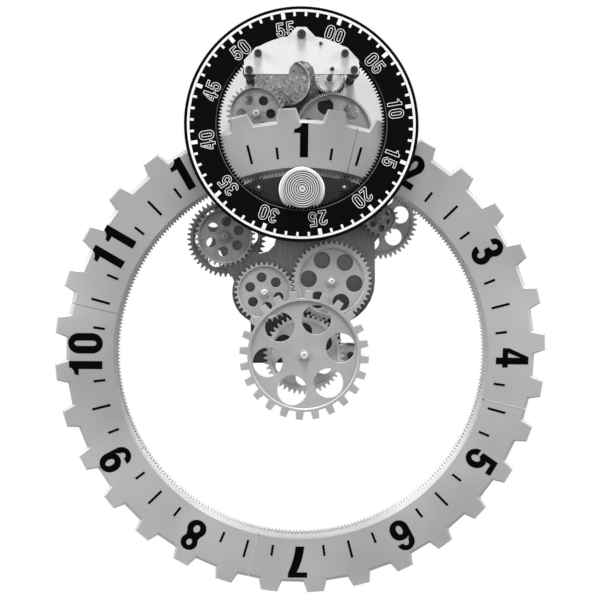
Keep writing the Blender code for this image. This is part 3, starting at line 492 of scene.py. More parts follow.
# Gears of the train: moulded in grey with a metallic lacquer, and pressed on their arbors. Each has
# a toothed rim, a thinner web and a small hub, and all but the pale setting gear have six holes.
GEAR_THICK = 0.0045
MODULE = 0.0019
WEB = 0.0027
CHAMFER = 0.00025
BORE_R = 0.0033
HUB_R = 0.0056
LIP_DRAFT = 0.0008
HOLES = 6
HOLE_STEPS = 40
TIP_SLACK = 0.0001
TRAPEZOID = ((-0.002, -0.31), (0.0015, -0.08), (0.0015, 0.08), (-0.002, 0.31))
POINTED = ((-0.0026, -0.34), (0.0014, -0.10), (0.0014, 0.10), (-0.0026, 0.34))
FINE_POINTED = ((-0.0020, -0.34), (0.0007, -0.10), (0.0007, 0.10), (-0.0020, 0.34))
SETTING_MODULE = 0.000856
WHEEL_LIP = 0.0074
REAR_LIP = 0.0066
SMALL_LIP = 0.0042
FINE_LIP = 0.0034
SETTING_LIP = 0.0028
WHEEL_HOLES = (0.0094, 0.0258)
REAR_HOLES = (0.0098, 0.0264)
SMALL_HOLES = (0.0055, 0.0168)
PINION_HOLES = (0.0034, 0.0107)
UPPER_HOLES = (0.0093, 0.0305)

gear_grey = clouded("gear_lacquer", 0.38, 0.42, (0.34, 0.42), 30.0, 4.0, metallic=0.1, shine=0.3)
gear_fine = noise_at(gear_grey, 2500.0, 2.0)
vary_roughness(gear_grey, gear_fine, 0.36, 0.5)
raise_grain(gear_grey, gear_fine, 0.15, 0.0001)


def tooth_phase(node, middle, teeth):
    """The clock direction of one tooth of the CAD gear, found from its outermost corners."""
    verts = frame["nodes"][node].data.vertices
    spots = [(v.co.x - middle[0], v.co.z + HANGING_RISE - middle[1]) for v in verts]
    reach = max(math.hypot(*spot) for spot in spots)
    tips = [math.atan2(*spot) for spot in spots if math.hypot(*spot) > reach - TIP_SLACK]
    across = sum(math.sin(teeth * tip) for tip in tips)
    up = sum(math.cos(teeth * tip) for tip in tips)
    return math.degrees(math.atan2(across, up)) / teeth


def toothed_loop(work, teeth, phase, pitch_r, corners):
    """A circle pushed out into teeth. Each corner is its rise from the pitch circle and its share."""
    made = bmesh.ops.create_circle(work, segments=len(corners) * teeth, radius=pitch_r)
    for i, vert in enumerate(made["verts"]):
        rise, share = corners[i % len(corners)]
        turn = phase + (i // len(corners) + share) * 360.0 / teeth
        vert.co = (*clock_point(pitch_r + rise, turn), 0.0)
    return loop_edges(made["verts"])


def loop_edges(verts):
    """The edges at these corners, each once and in the same order on every run."""
    return list(dict.fromkeys(edge for vert in verts for edge in vert.link_edges))


def round_loop(work, radius, middle=(0.0, 0.0), steps=HOLE_STEPS):
    place = Matrix.Translation((*middle, 0.0))
    return loop_edges(bmesh.ops.create_circle(work, segments=steps, radius=radius, matrix=place)["verts"])


def holes_round(work, hole_r, circle_r, phase):
    """The holes of a web: their radius, that of the circle they lie on, and where one is."""
    spots = [clock_point(circle_r, phase + 360.0 / HOLES * i) for i in range(HOLES)]
    return [edge for spot in spots for edge in round_loop(work, hole_r, spot)]


def gear_blank(work, outer, lip_r, holes, thick=GEAR_THICK, web=WEB, draft=LIP_DRAFT):
    """A rim, a lower web with holes and a hub, from the outer loop."""
    lip = round_loop(work, lip_r, steps=96)
    hub = round_loop(work, HUB_R)
    bore = round_loop(work, BORE_R)
    rim = fill(work, outer, lip)
    web_faces = fill(work, lip, hub, *holes)
    hub_faces = fill(work, hub, bore)
    raised = lift(work, [*rim, *web_faces, *hub_faces], web - CHAMFER)
    rim = []
    hub_faces = []
    web_faces = []
    for face in raised:
        reaches = [math.hypot(*vert.co[:2]) for vert in face.verts]
        if min(reaches) > lip_r - WELD:
            rim.append(face)
        elif max(reaches) < HUB_R + WELD:
            hub_faces.append(face)
        else:
            web_faces.append(face)
    chamfer(work, web_faces, CHAMFER)
    rim = lift(work, rim, thick - web)
    for vert in {v for face in rim for v in face.verts}:
        radius = math.hypot(*vert.co[:2])
        if radius < lip_r + WELD:
            vert.co.x *= (lip_r + draft) / radius
            vert.co.y *= (lip_r + draft) / radius
    chamfer(work, rim, CHAMFER)
    chamfer(work, lift(work, hub_faces, thick - web), CHAMFER)


def train_gear(train, kind, cad_kind, teeth, corners, lip, holes, phase, material, module=MODULE):
    """One gear of the train, cut as the CAD gear is."""
    node = f"{train}_{cad_kind}"
    body = f"{train}_train"
    middle = axles[body]
    back = -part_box(node)[1].y
    work = bmesh.new()
    pitch_r = teeth * module / 2
    outer = toothed_loop(work, teeth, tooth_phase(node, middle, teeth), pitch_r, corners)
    hole_edges = [holes_round(work, *holes, phase)] if holes else []
    gear_blank(work, outer, pitch_r - lip, hole_edges)
    place = at(*middle, back)
    new_piece(f"{train}_{kind}", work, place, material, body, "gear_aluminium", node)


# A darker copy of the gear lacquer, painted shade, for the left wheel and the left and right front gears,
# which lie in the minute ring's shadow.
painted_shade_grey = clouded(
    "gear_lacquer_painted_shade", 0.22, 0.45, (0.17, 0.27), 60.0, 4.0, metallic=0.1, shine=0.2,
)
raise_grain(painted_shade_grey, noise_at(painted_shade_grey, 2500.0, 2.0), 0.15, 0.0001)
speckled_grey = clouded(
    "speckled_gear_lacquer", 0.30, 0.45, (0.29, 0.46), 420.0, metallic=0.1, shine=0.3,
)
raise_grain(speckled_grey, noise_at(speckled_grey, 900.0, 2.0), 0.3, 0.0002)
# A lighter copy of the gear lacquer, painted light, for the centre gear and the upper left cap.
painted_light_grey = clouded("gear_lacquer_painted_light", 0.74, 0.42, (0.68, 0.80), 60.0, 4.0, shine=0.4)
pale_nylon = clouded("pale_nylon", 0.72, 0.4, (0.66, 0.78), 90.0)
train_gear("upper_left", "gear", "wheel", 34, POINTED, SMALL_LIP, SMALL_HOLES, 31.0, speckled_grey)
train_gear(
    "upper_right", "gear", "wheel", 104, FINE_POINTED, FINE_LIP,
    UPPER_HOLES, 42.0, gear_grey, SETTING_MODULE,
)
train_gear(
    "setting", "pinion", "gear", 38, FINE_POINTED, SETTING_LIP,
    None, 0.0, pale_nylon, SETTING_MODULE,
)
train_gear("left", "wheel", "rear_wheel", 46, POINTED, REAR_LIP, REAR_HOLES, 26.3, painted_shade_grey)
train_gear("right", "wheel", "rear_wheel", 46, POINTED, REAR_LIP, REAR_HOLES, 17.7, gear_grey)
train_gear("left", "gear", "front_gear", 34, TRAPEZOID, SMALL_LIP, SMALL_HOLES, 6.5, painted_shade_grey)
train_gear("right", "gear", "front_gear", 20, TRAPEZOID, SMALL_LIP, PINION_HOLES, 54.0, painted_shade_grey)
train_gear("mid_left", "gear", "front_gear", 34, TRAPEZOID, SMALL_LIP, SMALL_HOLES, 49.8, gear_grey)
train_gear("mid_right", "gear", "front_gear", 46, TRAPEZOID, WHEEL_LIP, WHEEL_HOLES, 36.0, gear_grey)
# The centre gear takes the painted light copy.
train_gear("centre", "gear", "rear_gear", 46, POINTED, WHEEL_LIP, WHEEL_HOLES, 0.0, painted_light_grey)
material_on(gear_grey, "mid_left_rear_gear", "mid_right_rear_gear")
material_on(cast_grey, "motor_pinion")

# Coarse gear: the largest of the train, moulded and lacquered like the others, with 24 square
# teeth and six wide holes. It sits on the centre arbor, in front of the centre gear.
COARSE_TEETH = 24
COARSE_PHASE = 4.75
COARSE_ROOT_R = 0.0631
COARSE_TIP_R = 0.0718
COARSE_RISE = 0.0087
COARSE_ROOT_WIDTH = 0.0088
COARSE_TIP_WIDTH = 0.0074
COARSE_LIP_R = 0.0590
COARSE_BACK = 0.0722
COARSE_THICK = 0.006
COARSE_WEB = 0.0040
COARSE_DRAFT = 0.0012
COARSE_HOLES = (0.0164, 0.0412, 19.3)
coarse_root = math.degrees(COARSE_ROOT_WIDTH / COARSE_ROOT_R) * COARSE_TEETH / 360.0
coarse_tip = math.degrees(COARSE_TIP_WIDTH / COARSE_TIP_R) * COARSE_TEETH / 360.0
coarse_corners = (
    (0.0, -coarse_root / 2), (COARSE_RISE, -coarse_tip / 2), (COARSE_RISE, coarse_tip / 2),
    (0.0, coarse_root / 2),
)
coarse = bmesh.new()
coarse_outer = toothed_loop(coarse, COARSE_TEETH, COARSE_PHASE, COARSE_ROOT_R, coarse_corners)
coarse_holes = holes_round(coarse, *COARSE_HOLES)
gear_blank(
    coarse, coarse_outer, COARSE_LIP_R, [coarse_holes], COARSE_THICK, COARSE_WEB, COARSE_DRAFT,
)
coarse_place = at(*axles["centre_train"], COARSE_BACK)
new_piece(
    "coarse_wheel", coarse, coarse_place, gear_grey, "centre_train", "gear_aluminium",
    "coarse_gear",
)

# Arbors: turned steel spindles that run in the plates, with a small domed cap in front of each
# gear and a collar at the back. Some caps are painted like the gear that they hold.
ARBOR_R = 0.003
COLLAR_R = 0.0045
CAP_R = 0.0034
STEEL_SPREAD = (0.3, 0.45)
bright_steel = clouded(
    "bright_steel_bar", 0.55, 0.35, (0.48, 0.64), 500.0, spread=STEEL_SPREAD, metallic=0.6,
)


def arbor(place, finish, cap_r):
    """A spindle between its node's ends, with a rounded cap that has a centre hole."""
    node = f"{place}_arbor"
    body = f"{place}_train"
    low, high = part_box(node)
    front = -low.y
    back = -high.y
    profile = (
        (0.0, front - 0.0035), (0.28 * cap_r, front - 0.0035), (0.30 * cap_r, front - 0.0002),
        (0.40 * cap_r, front), (0.75 * cap_r, front - 0.0001), (0.93 * cap_r, front - 0.0006),
        (cap_r, front - 0.0015), (ARBOR_R, front - 0.0015), (ARBOR_R, back + 0.0015),
        (COLLAR_R, back + 0.0015), (COLLAR_R, back), (0.0, back),
    )
    spindle = spun(profile, 32)
    new_piece(f"{place}_spindle", spindle, at(*axles[body]), finish, body, "bright_steel", node)


arbor("centre", bright_steel, 0.0042)
arbor("mid_right", bright_steel, CAP_R)
arbor("mid_left", bright_steel, CAP_R)
# Painted shade on the caps of the left and right gears.
arbor("left", painted_shade_grey, CAP_R)
arbor("right", painted_shade_grey, CAP_R)
# Painted light on the upper left cap.
arbor("upper_left", painted_light_grey, 0.0038)
arbor("upper_right", gear_grey, 0.0032)
material_on(cast_grey, "motor_arbor")

# Hour ring: four cast quarters in satin silver lacquer, with coarse blocks round the outside.
# They are screwed to a rear band whose fine teeth the clock drives. The ring leans by 5 degrees.
HOUR_DEPTH = 0.0424
LEAN = 5.0
LEANING = at(0.0, 0.0, HOUR_DEPTH) @ Matrix.Rotation(math.radians(LEAN), 4, "X")
BLOCKS = 32
BLOCK_PHASE = 8.1
BLOCK_FOOT_WIDTH = 0.0272
BLOCK_TIP_WIDTH = 0.0195
TIP_R = 0.2811
NOTCH_R = 0.2683
FACE_INNER_R = 0.21498
FACE_THICK = 0.006
FACE_LAND = 0.0026
SEAM = 13.8
SEAM_GAPS = (0.0007, 0.0014, 0.0007, 0.0007)
NOTCH_DRAFT = 0.0040
TIP_DRAFT = 0.0020
FLANK_DRAFT = 0.0014
RING_STEPS = 256

silver = new_material("satin_silver_lacquer", grey(0.45), 0.45, 0.1, shine=0.3)
silver_cloud = noise_at(silver, 6.0, 2.0)
vary_colour(silver, silver_cloud, grey(0.38), grey(0.54), 0.35, 0.65)
silver_fine = noise_at(silver, 3000.0, 2.0)
vary_roughness(silver, silver_fine, 0.36, 0.48)
raise_grain(silver, silver_fine, 0.1, 0.0001)


def block_corners(tip_draft, notch_draft, flank_draft):
    """The corners of one block of the hour ring, as rises from the notches' circle and shares."""
    turn = 360.0 / BLOCKS
    root = math.degrees((BLOCK_FOOT_WIDTH / 2 - flank_draft) / NOTCH_R) / turn
    tip = math.degrees((BLOCK_TIP_WIDTH / 2 - flank_draft) / TIP_R) / turn
    rise = TIP_R - NOTCH_R - tip_draft
    return ((-notch_draft, -root), (rise, -tip), (rise, tip), (-notch_draft, root))


def sink(work, loop, depth):
    """Moves a loop back by the depth."""
    verts = list(dict.fromkeys(vert for edge in loop for vert in edge.verts))
    bmesh.ops.translate(work, vec=(0.0, 0.0, -depth), verts=verts)
    return loop


def hour_blank():
    """The whole ring of faces. The walls stand straight at the back and slope in at the front."""
    work = bmesh.new()
    straight = block_corners(0.0, 0.0, 0.0)
    drafted = block_corners(TIP_DRAFT, NOTCH_DRAFT, FLANK_DRAFT)
    back = sink(work, toothed_loop(work, BLOCKS, BLOCK_PHASE, NOTCH_R, straight), FACE_THICK)
    land = sink(work, toothed_loop(work, BLOCKS, BLOCK_PHASE, NOTCH_R, straight), FACE_LAND)
    front = toothed_loop(work, BLOCKS, BLOCK_PHASE, NOTCH_R, drafted)
    back_inner = sink(work, round_loop(work, FACE_INNER_R, steps=RING_STEPS), FACE_THICK)
    front_inner = round_loop(work, FACE_INNER_R, steps=RING_STEPS)
    fill(work, back, back_inner)
    fill(work, front, front_inner)
    for start, end in ((back, land), (land, front), (back_inner, front_inner)):
        bmesh.ops.bridge_loops(work, edges=start + end)
    return work


def halved(work, direction, gap):
    """Keeps what lies clockwise of this clock direction, and closes the cut."""
    side = clock_point(1.0, direction + 90.0)
    start = (side[0] * gap, side[1] * gap, 0.0)
    parts = [*work.verts, *work.edges, *work.faces]
    made = bmesh.ops.bisect_plane(
        work, geom=parts, plane_co=start, plane_no=(-side[0], -side[1], 0.0), clear_outer=True,
    )
    cut = [part for part in made["geom_cut"] if isinstance(part, bmesh.types.BMEdge)]
    bmesh.ops.holes_fill(work, edges=cut, sides=0)


for i in range(4):
    quarter = hour_blank()
    halved(quarter, SEAM + 90.0 * i, SEAM_GAPS[i] / 2)
    halved(quarter, SEAM + 90.0 * (i + 1) + 180.0, SEAM_GAPS[(i + 1) % 4] / 2)
    new_piece(
        f"hour_quarter_{i + 1}", quarter, LEANING, silver, "hour_ring", "satin_aluminium",
        f"hour_face_{i + 1}",
    )

# Rear band of the hour ring: two half rings cast in the same silver, which hold the quarters
# together from behind. Their inner edge slopes back to 324 fine teeth.
BAND_FRONT = -0.0063
BAND_BACK = -0.0140
BAND_SLOPE = 0.0050
BAND_OUTER_R = 0.21947
FINE_TEETH = 324
FINE_PITCH_R = 0.210276
FINE_ROOT_RISE = 0.0018
FINE_TIP_DROP = 0.0015
BAND_SEAM = 60.0
BAND_GAP = 0.0007


def band_blank():
    """The whole band, turned from its section, with every second step of its inside drawn in."""
    slope_front = BAND_FRONT - BAND_SLOPE
    smooth_r = FINE_PITCH_R + FINE_ROOT_RISE + 0.0002
    profile = (
        (FINE_PITCH_R, BAND_BACK), (FINE_PITCH_R, slope_front), (smooth_r, BAND_FRONT - 0.0030),
        (FACE_INNER_R + 0.0006, BAND_FRONT), (BAND_OUTER_R, BAND_FRONT), (BAND_OUTER_R, BAND_BACK),
    )
    work = spun(profile, 2 * FINE_TEETH, ring=True)
    for vert in work.verts:
        if math.hypot(*vert.co[:2]) < FINE_PITCH_R + WELD:
            step = round(math.atan2(vert.co.y, vert.co.x) * FINE_TEETH / math.pi)
            change = 1.0 + (-FINE_TIP_DROP if step % 2 else FINE_ROOT_RISE) / FINE_PITCH_R
            vert.co.x *= change
            vert.co.y *= change
    return work


for i, side in enumerate(("right", "left")):
    band = band_blank()
    halved(band, BAND_SEAM + 180.0 * i, BAND_GAP / 2)
    new_piece(
        f"hour_band_{side}", band, LEANING, silver, "hour_ring", "satin_aluminium",
        f"hour_rim_{side}",
    )

# Printing on the hour ring: black numerals 1 to 12 and ticks, printed on the lacquer in a narrow
# heavy face. A digit is drawn one unit high, with its foot on the line y = 0.
DIGIT_WIDTH = 0.6
INK_THICK = 0.00008
NUMERAL_LIFT = 0.00002
TICK_LIFT = 0.00006
NUMERAL_FOOT_R = 0.2252
NUMERAL_HEIGHT = 0.0378
NUMERAL_GAP = 0.09
NUMERAL_TURN = 0.9
TICK_TURN = 1.05
NUMERAL_SHIFT = (-0.0018, 0.0010)
TICK_SHIFT = (-0.0010, 0.0006)
TICK_START_R = 0.2248
SHORT_TICK_END_R = 0.2380
LONG_TICK_END_R = 0.2463
TICK_WIDTH = 0.0028


def bend(middle_x, middle_y, radius_x, radius_y, start, end, steps=14):
    """Points along part of an oval, with its angles anticlockwise from the right."""
    angles = [math.radians(start + (end - start) * i / steps) for i in range(steps + 1)]
    return [(middle_x + radius_x * math.cos(a), middle_y + radius_y * math.sin(a)) for a in angles]


def turned_digit(loops):
    """The same digit, upside down."""
    return [[(DIGIT_WIDTH - x, 1.0 - y) for x, y in loop] for loop in loops]


SIX = [
    bend(0.30, 0.71, 0.29, 0.30, 5, 180) + bend(0.30, 0.30, 0.30, 0.31, 180, 360)
    + bend(0.30, 0.35, 0.30, 0.30, 0, 125) + bend(0.30, 0.73, 0.095, 0.12, 180, 5),
    bend(0.30, 0.31, 0.095, 0.155, 0, 360)[:-1],
]
DIGITS = {
    "0": [
        bend(0.30, 0.70, 0.31, 0.32, 0, 180) + bend(0.30, 0.30, 0.31, 0.32, 180, 360),
        bend(0.30, 0.72, 0.08, 0.11, 0, 180) + bend(0.30, 0.28, 0.08, 0.11, 180, 360),
    ],
    "1": [
        [(0.45, 0.0), (0.45, 1.0), (0.30, 1.0)] + bend(0.02, 1.0, 0.23, 0.17, 0, -85, 6)
        + [(0.02, 0.71), (0.205, 0.71), (0.205, 0.0)],
    ],
    "2": [
        bend(0.30, 0.715, 0.29, 0.29, 190, -25)
        + [(0.29, 0.19), (0.58, 0.19), (0.58, 0.0), (0.02, 0.0), (0.02, 0.16)]
        + bend(0.26, 0.70, 0.11, 0.13, -35, 40, 5) + bend(0.30, 0.735, 0.085, 0.10, 45, 190, 8),
    ],
    "3": [
        bend(0.29, 0.735, 0.275, 0.27, 180, -38) + bend(0.29, 0.285, 0.30, 0.29, 42, -180)
        + bend(0.29, 0.28, 0.09, 0.12, -180, 70) + [(0.19, 0.43), (0.19, 0.59)]
        + bend(0.28, 0.735, 0.08, 0.11, -80, 180),
    ],
    "4": [
        [(0.27, 1.0), (0.50, 1.0), (0.50, 0.37), (0.60, 0.37), (0.60, 0.20), (0.50, 0.20)]
        + [(0.50, 0.0), (0.29, 0.0), (0.29, 0.20), (0.0, 0.20), (0.0, 0.40)],
        [(0.29, 0.37), (0.29, 0.74), (0.15, 0.37)],
    ],
    "5": [
        [(0.08, 1.0), (0.55, 1.0), (0.55, 0.82), (0.25, 0.82), (0.235, 0.64)]
        + bend(0.29, 0.34, 0.30, 0.34, 95, -180) + bend(0.29, 0.32, 0.10, 0.15, -180, 150)
        + [(0.03, 0.44)],
    ],
    "6": SIX,
    "7": [
        [(0.0, 1.0), (0.60, 1.0), (0.60, 0.86), (0.52, 0.66), (0.45, 0.44), (0.40, 0.22)]
        + [(0.375, 0.0), (0.10, 0.0), (0.13, 0.22), (0.18, 0.45), (0.25, 0.66), (0.33, 0.83)]
        + [(0.0, 0.83)],
    ],
    "8": [
        bend(0.30, 0.755, 0.265, 0.255, -40, 220) + bend(0.30, 0.28, 0.30, 0.29, 140, 400),
        bend(0.30, 0.75, 0.085, 0.105, 0, 360)[:-1],
        bend(0.30, 0.28, 0.10, 0.125, 0, 360)[:-1],
    ],
    "9": turned_digit(SIX),
}


def draw_digit(work, digit, left, height):
    """Fills the digit's outline, from this place on."""
    loops = []
    for outline in DIGITS[digit]:
        loops.append(closed_loop(work, [(left + x * height, y * height) for x, y in outline]))
    fill(work, *loops)


def number(text, height, gap):
    """A number in its own mesh, centred on x = 0."""
    work = bmesh.new()
    step = (DIGIT_WIDTH + gap) * height
    start = -(step * len(text) - gap * height) / 2
    for i, digit in enumerate(text):
        draw_digit(work, digit, start + step * i, height)
    return work


def dial_turn(degrees, radius):
    """Sends what is drawn upright at the origin to this radius and clock direction."""
    return Matrix.Rotation(-math.radians(degrees), 4, "Z") @ Matrix.Translation((0.0, radius, 0.0))


def gather(target, source, matrix):
    """Adds the source mesh to the target at its place, and frees the source."""
    bmesh.ops.transform(source, matrix=matrix, verts=source.verts)
    mesh = bpy.data.meshes.new("gathered")
    source.to_mesh(mesh)
    source.free()
    target.from_mesh(mesh)
    bpy.data.meshes.remove(mesh)


def print_on(target, work, degrees, radius):
    """Gives flat shapes the thickness of ink, and adds them to the target at their place."""
    lift(work, list(work.faces), INK_THICK)
    gather(target, work, dial_turn(degrees, radius))


ink = new_material("black_ink", grey(0.002), 0.5, shine=0.015)
vary_roughness(ink, noise_at(ink, 900.0), 0.38, 0.55)
numerals = bmesh.new()
for hour in range(1, 13):
    shape = number(str(hour), NUMERAL_HEIGHT, NUMERAL_GAP)
    print_on(numerals, shape, NUMERAL_TURN + 30.0 * (hour - 1), NUMERAL_FOOT_R)
numeral_place = LEANING @ Matrix.Translation((*NUMERAL_SHIFT, NUMERAL_LIFT))
new_piece("hour_numerals", numerals, numeral_place, ink, "hour_ring", "black_enamel")
ticks = bmesh.new()
for i in range(48):
    if i % 4:
        end_r = LONG_TICK_END_R if i % 4 == 2 else SHORT_TICK_END_R
        size = Matrix.Diagonal((TICK_WIDTH, end_r - TICK_START_R, INK_THICK, 1.0))
        place = dial_turn(TICK_TURN + 7.5 * i, (end_r + TICK_START_R) / 2)
        bmesh.ops.create_cube(ticks, size=1.0, matrix=place @ size)
tick_place = LEANING @ Matrix.Translation((*TICK_SHIFT, TICK_LIFT))
new_piece("hour_ticks", ticks, tick_place, ink, "hour_ring", "black_enamel")

# Carriers: two blackened steel pinions on studs that lean with the hour ring, which hangs on
# them. Each stud is fixed in the movement plate and has a small bright cap.
CARRIER_TEETH = 18
CARRIER_MODULE = 0.001298
CARRIER_PITCH_R = CARRIER_MODULE * CARRIER_TEETH / 2
CARRIER_SPREAD = 0.048
carrier_rise = math.sqrt((FINE_PITCH_R - CARRIER_PITCH_R) ** 2 - CARRIER_SPREAD ** 2)
to_leaning = LEANING.inverted()
dark_steel = clouded(
    "blackened_steel", 0.03, 0.35, (0.02, 0.05), 500.0, spread=STEEL_SPREAD, metallic=0.6,
)
for side, sign in (("left", -1), ("right", 1)):
    material_on(dark_steel, f"{side}_carrier_pinion", f"{side}_carrier_stud")
    cap = spun(((0.0, 0.0008), (0.0008, 0.0007), (0.0014, 0.0003), (0.0016, 0.0), (0.0, 0.0)), 24)
    stud_verts = frame["nodes"][f"{side}_carrier_stud"].data.vertices
    stud_front = max((to_leaning @ vert.co).z for vert in stud_verts)
    place = LEANING @ Matrix.Translation((sign * CARRIER_SPREAD, carrier_rise, stud_front))
    new_piece(f"{side}_carrier_cap", cap, place, bright_steel, "frame", "bright_steel")

# Minute ring: a flat steel dial in black enamel, fixed to a toothed ring of the same black. A
# white circle, 60 ticks and the outlined numbers 00 to 55 are printed on it. The two kinds of
# tick are given by the radius where they start, and their width.
MINUTE_MIDDLE = (0.0, 0.2595)
DIAL_BACK = 0.0750
DIAL_THICK = 0.003
DIAL_EDGE = 0.0004
DIAL_OUTER_R = 0.1293
DIAL_INNER_R = 0.0943
MINUTE_TURN = 20.56
enamel = new_material("black_enamel_coat", grey(0.002), 0.4, shine=0.03)
enamel_fine = noise_at(enamel, 700.0, 3.0)
vary_roughness(enamel, enamel_fine, 0.3, 0.42)
material_on(enamel, "minute_gear")
dial = bmesh.new()
dial_outer = round_loop(dial, DIAL_OUTER_R, steps=RING_STEPS)
dial_inner = round_loop(dial, DIAL_INNER_R, steps=RING_STEPS)
dial_faces = lift(dial, fill(dial, dial_outer, dial_inner), DIAL_THICK - DIAL_EDGE)
chamfer(dial, dial_faces, DIAL_EDGE)
dial_place = at(*MINUTE_MIDDLE, DIAL_BACK)
new_piece("minute_face", dial, dial_place, enamel, "minute_ring", "black_enamel", "minute_dial")
# The lip of the dial's inner edge is a lighter grey than the enamel: painted sheen, so that its lit lower
# side shows.
lip_sheen_grey = clouded("lip_painted_sheen", 0.08, 0.5, (0.05, 0.11), 500.0, shine=0.1)
lip_profile = (
    (DIAL_INNER_R - 0.0004, 0.0006), (DIAL_INNER_R - 0.0004, DIAL_THICK - 0.0008),
    (DIAL_INNER_R + 0.0003, DIAL_THICK + 0.0001), (DIAL_INNER_R + 0.0006, DIAL_THICK - 0.0006),
    (DIAL_INNER_R + 0.0006, 0.0006),
)
dial_lip = spun(lip_profile, 192, ring=True)
new_piece("minute_face_lip", dial_lip, dial_place, lip_sheen_grey, "minute_ring", "black_enamel")

white_ink = new_material("white_ink", grey(0.90), 0.4)
vary_roughness(white_ink, noise_at(white_ink, 900.0), 0.35, 0.5)
CIRCLE_OUTER_R = 0.1259
CIRCLE_INNER_R = 0.1233
FIVE_TICK = (0.1162, 0.0042)
MINUTE_TICK = (0.1186, 0.0026)
TICK_OVERLAP = 0.0004
ink_place = at(*MINUTE_MIDDLE, DIAL_BACK + DIAL_THICK + NUMERAL_LIFT)
marks = bmesh.new()
circle_outer = round_loop(marks, CIRCLE_OUTER_R, steps=RING_STEPS)
circle_inner = round_loop(marks, CIRCLE_INNER_R, steps=RING_STEPS)
lift(marks, fill(marks, circle_outer, circle_inner), INK_THICK)
tick_end_r = CIRCLE_INNER_R + TICK_OVERLAP
for i in range(60):
    start_r, width = MINUTE_TICK if i % 5 else FIVE_TICK
    size = Matrix.Diagonal((width, tick_end_r - start_r, INK_THICK, 1.0))
    middle = Matrix.Translation((0.0, (tick_end_r + start_r) / 2, INK_THICK / 2))
    place = dial_turn(MINUTE_TURN + 6.0 * i, 0.0) @ middle @ size
    bmesh.ops.create_cube(marks, size=1.0, matrix=place)
new_piece("minute_marks", marks, ink_place, white_ink, "minute_ring", "white_plate")

OUTLINE = 0.00062
MINUTE_HEIGHT = 0.0165
MINUTE_GAP = 0.08
MINUTE_FOOT_R = 0.0968
minute_numbers = bmesh.new()
for i in range(12):
    shape = number(f"{5 * i:02d}", MINUTE_HEIGHT, MINUTE_GAP)
    inner = list(shape.faces)
    bmesh.ops.recalc_face_normals(shape, faces=shape.faces)
    bmesh.ops.inset_region(
        shape, faces=inner, thickness=OUTLINE, use_even_offset=True, use_boundary=True,
    )
    bmesh.ops.delete(shape, geom=inner, context="FACES")
    print_on(minute_numbers, shape, MINUTE_TURN + 30.0 * i, MINUTE_FOOT_R)
new_piece("minute_numbers", minute_numbers, ink_place, white_ink, "minute_ring", "white_plate")

# Minute drive: a bright disc turned with fine grooves, on a shaft with a wide flange. The pinion
# behind the flange meets the minute ring's teeth. All three are turned from aluminium.
turned_metal = clouded(
    "turned_aluminium", 0.66, 0.38, (0.60, 0.72), 900.0, spread=STEEL_SPREAD, metallic=0.3,
)
DISC_FRONT = 0.0854
DISC_BACK = 0.0786
DISC_R = 0.0207
GROOVES = 7
GROOVE_START_R = 0.00435
GROOVE_STEP = 0.00243
GROOVE_HALF = 0.0007
GROOVE_DEPTH = 0.0013
# The groove walls get a darker grey: painted shade in the grooves.
groove_painted_shade = clouded("grooves_painted_shade", 0.20, 0.6, (0.16, 0.24), 800.0, shine=0.02)
disc_profile = [(0.0, DISC_FRONT - 0.0010), (0.0008, DISC_FRONT - 0.0010), (0.0014, DISC_FRONT)]
for i in range(GROOVES):
    radius = GROOVE_START_R + GROOVE_STEP * i
    disc_profile += [(radius - GROOVE_HALF, DISC_FRONT), (radius, DISC_FRONT - GROOVE_DEPTH)]
    disc_profile += [(radius + GROOVE_HALF, DISC_FRONT)]
disc_profile += [(DISC_R - 0.0005, DISC_FRONT), (DISC_R, DISC_FRONT - 0.0006)]
disc_profile += [(DISC_R, DISC_BACK), (0.0, DISC_BACK)]
drive_place = at(*axles["minute_drive"])
disc = new_piece(
    "grooved_disc", spun(disc_profile, 96), drive_place, turned_metal, "minute_drive",
    "satin_aluminium", "drive_disc",
)
disc.data.materials.append(groove_painted_shade)
for face in disc.data.polygons:
    if -face.center.y > DISC_FRONT - GROOVE_DEPTH and abs(face.normal.y) < 0.9:
        face.material_index = 1
flange_profile = (
    (0.0, 0.0785), (0.004, 0.0785), (0.004, 0.0694), (0.0245, 0.0694), (0.0255, 0.0688),
    (0.0255, 0.0668), (0.0251, 0.0664), (0.004, 0.0664), (0.004, 0.0546), (0.0, 0.0546),
)
new_piece(
    "drive_flange", spun(flange_profile, 96), drive_place, turned_metal, "minute_drive",
    "satin_aluminium", "drive_shaft",
)
material_on(turned_metal, "drive_pinion")

# Rollers and posts: black nylon rollers that turn on two dark steel posts. The posts are screwed
# between the back plate and the front plate, and the minute ring hangs on the rollers.
nylon = new_material("black_nylon_roller", grey(0.03), 0.5)
vary_roughness(nylon, noise_at(nylon, 600.0), 0.42, 0.58)
material_on(nylon, "left_roller", "right_roller")
material_on(dark_steel, "setting_arbor")
for side in ("left", "right"):
    low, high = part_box(f"{side}_post")
    front = -low.y
    back = -high.y
    rod = (
        (0.0, front), (0.0026, front), (0.0026, back + 0.010), (0.0046, back + 0.0098),
        (0.0050, back + 0.0090), (0.0050, back + 0.0010), (0.0046, back), (0.0, back),
    )
    middle = ((low.x + high.x) / 2, (low.z + high.z) / 2 + HANGING_RISE)
    new_piece(f"{side}_rod", spun(rod, 32), at(*middle), dark_steel, "frame", "dark_steel", f"{side}_post")

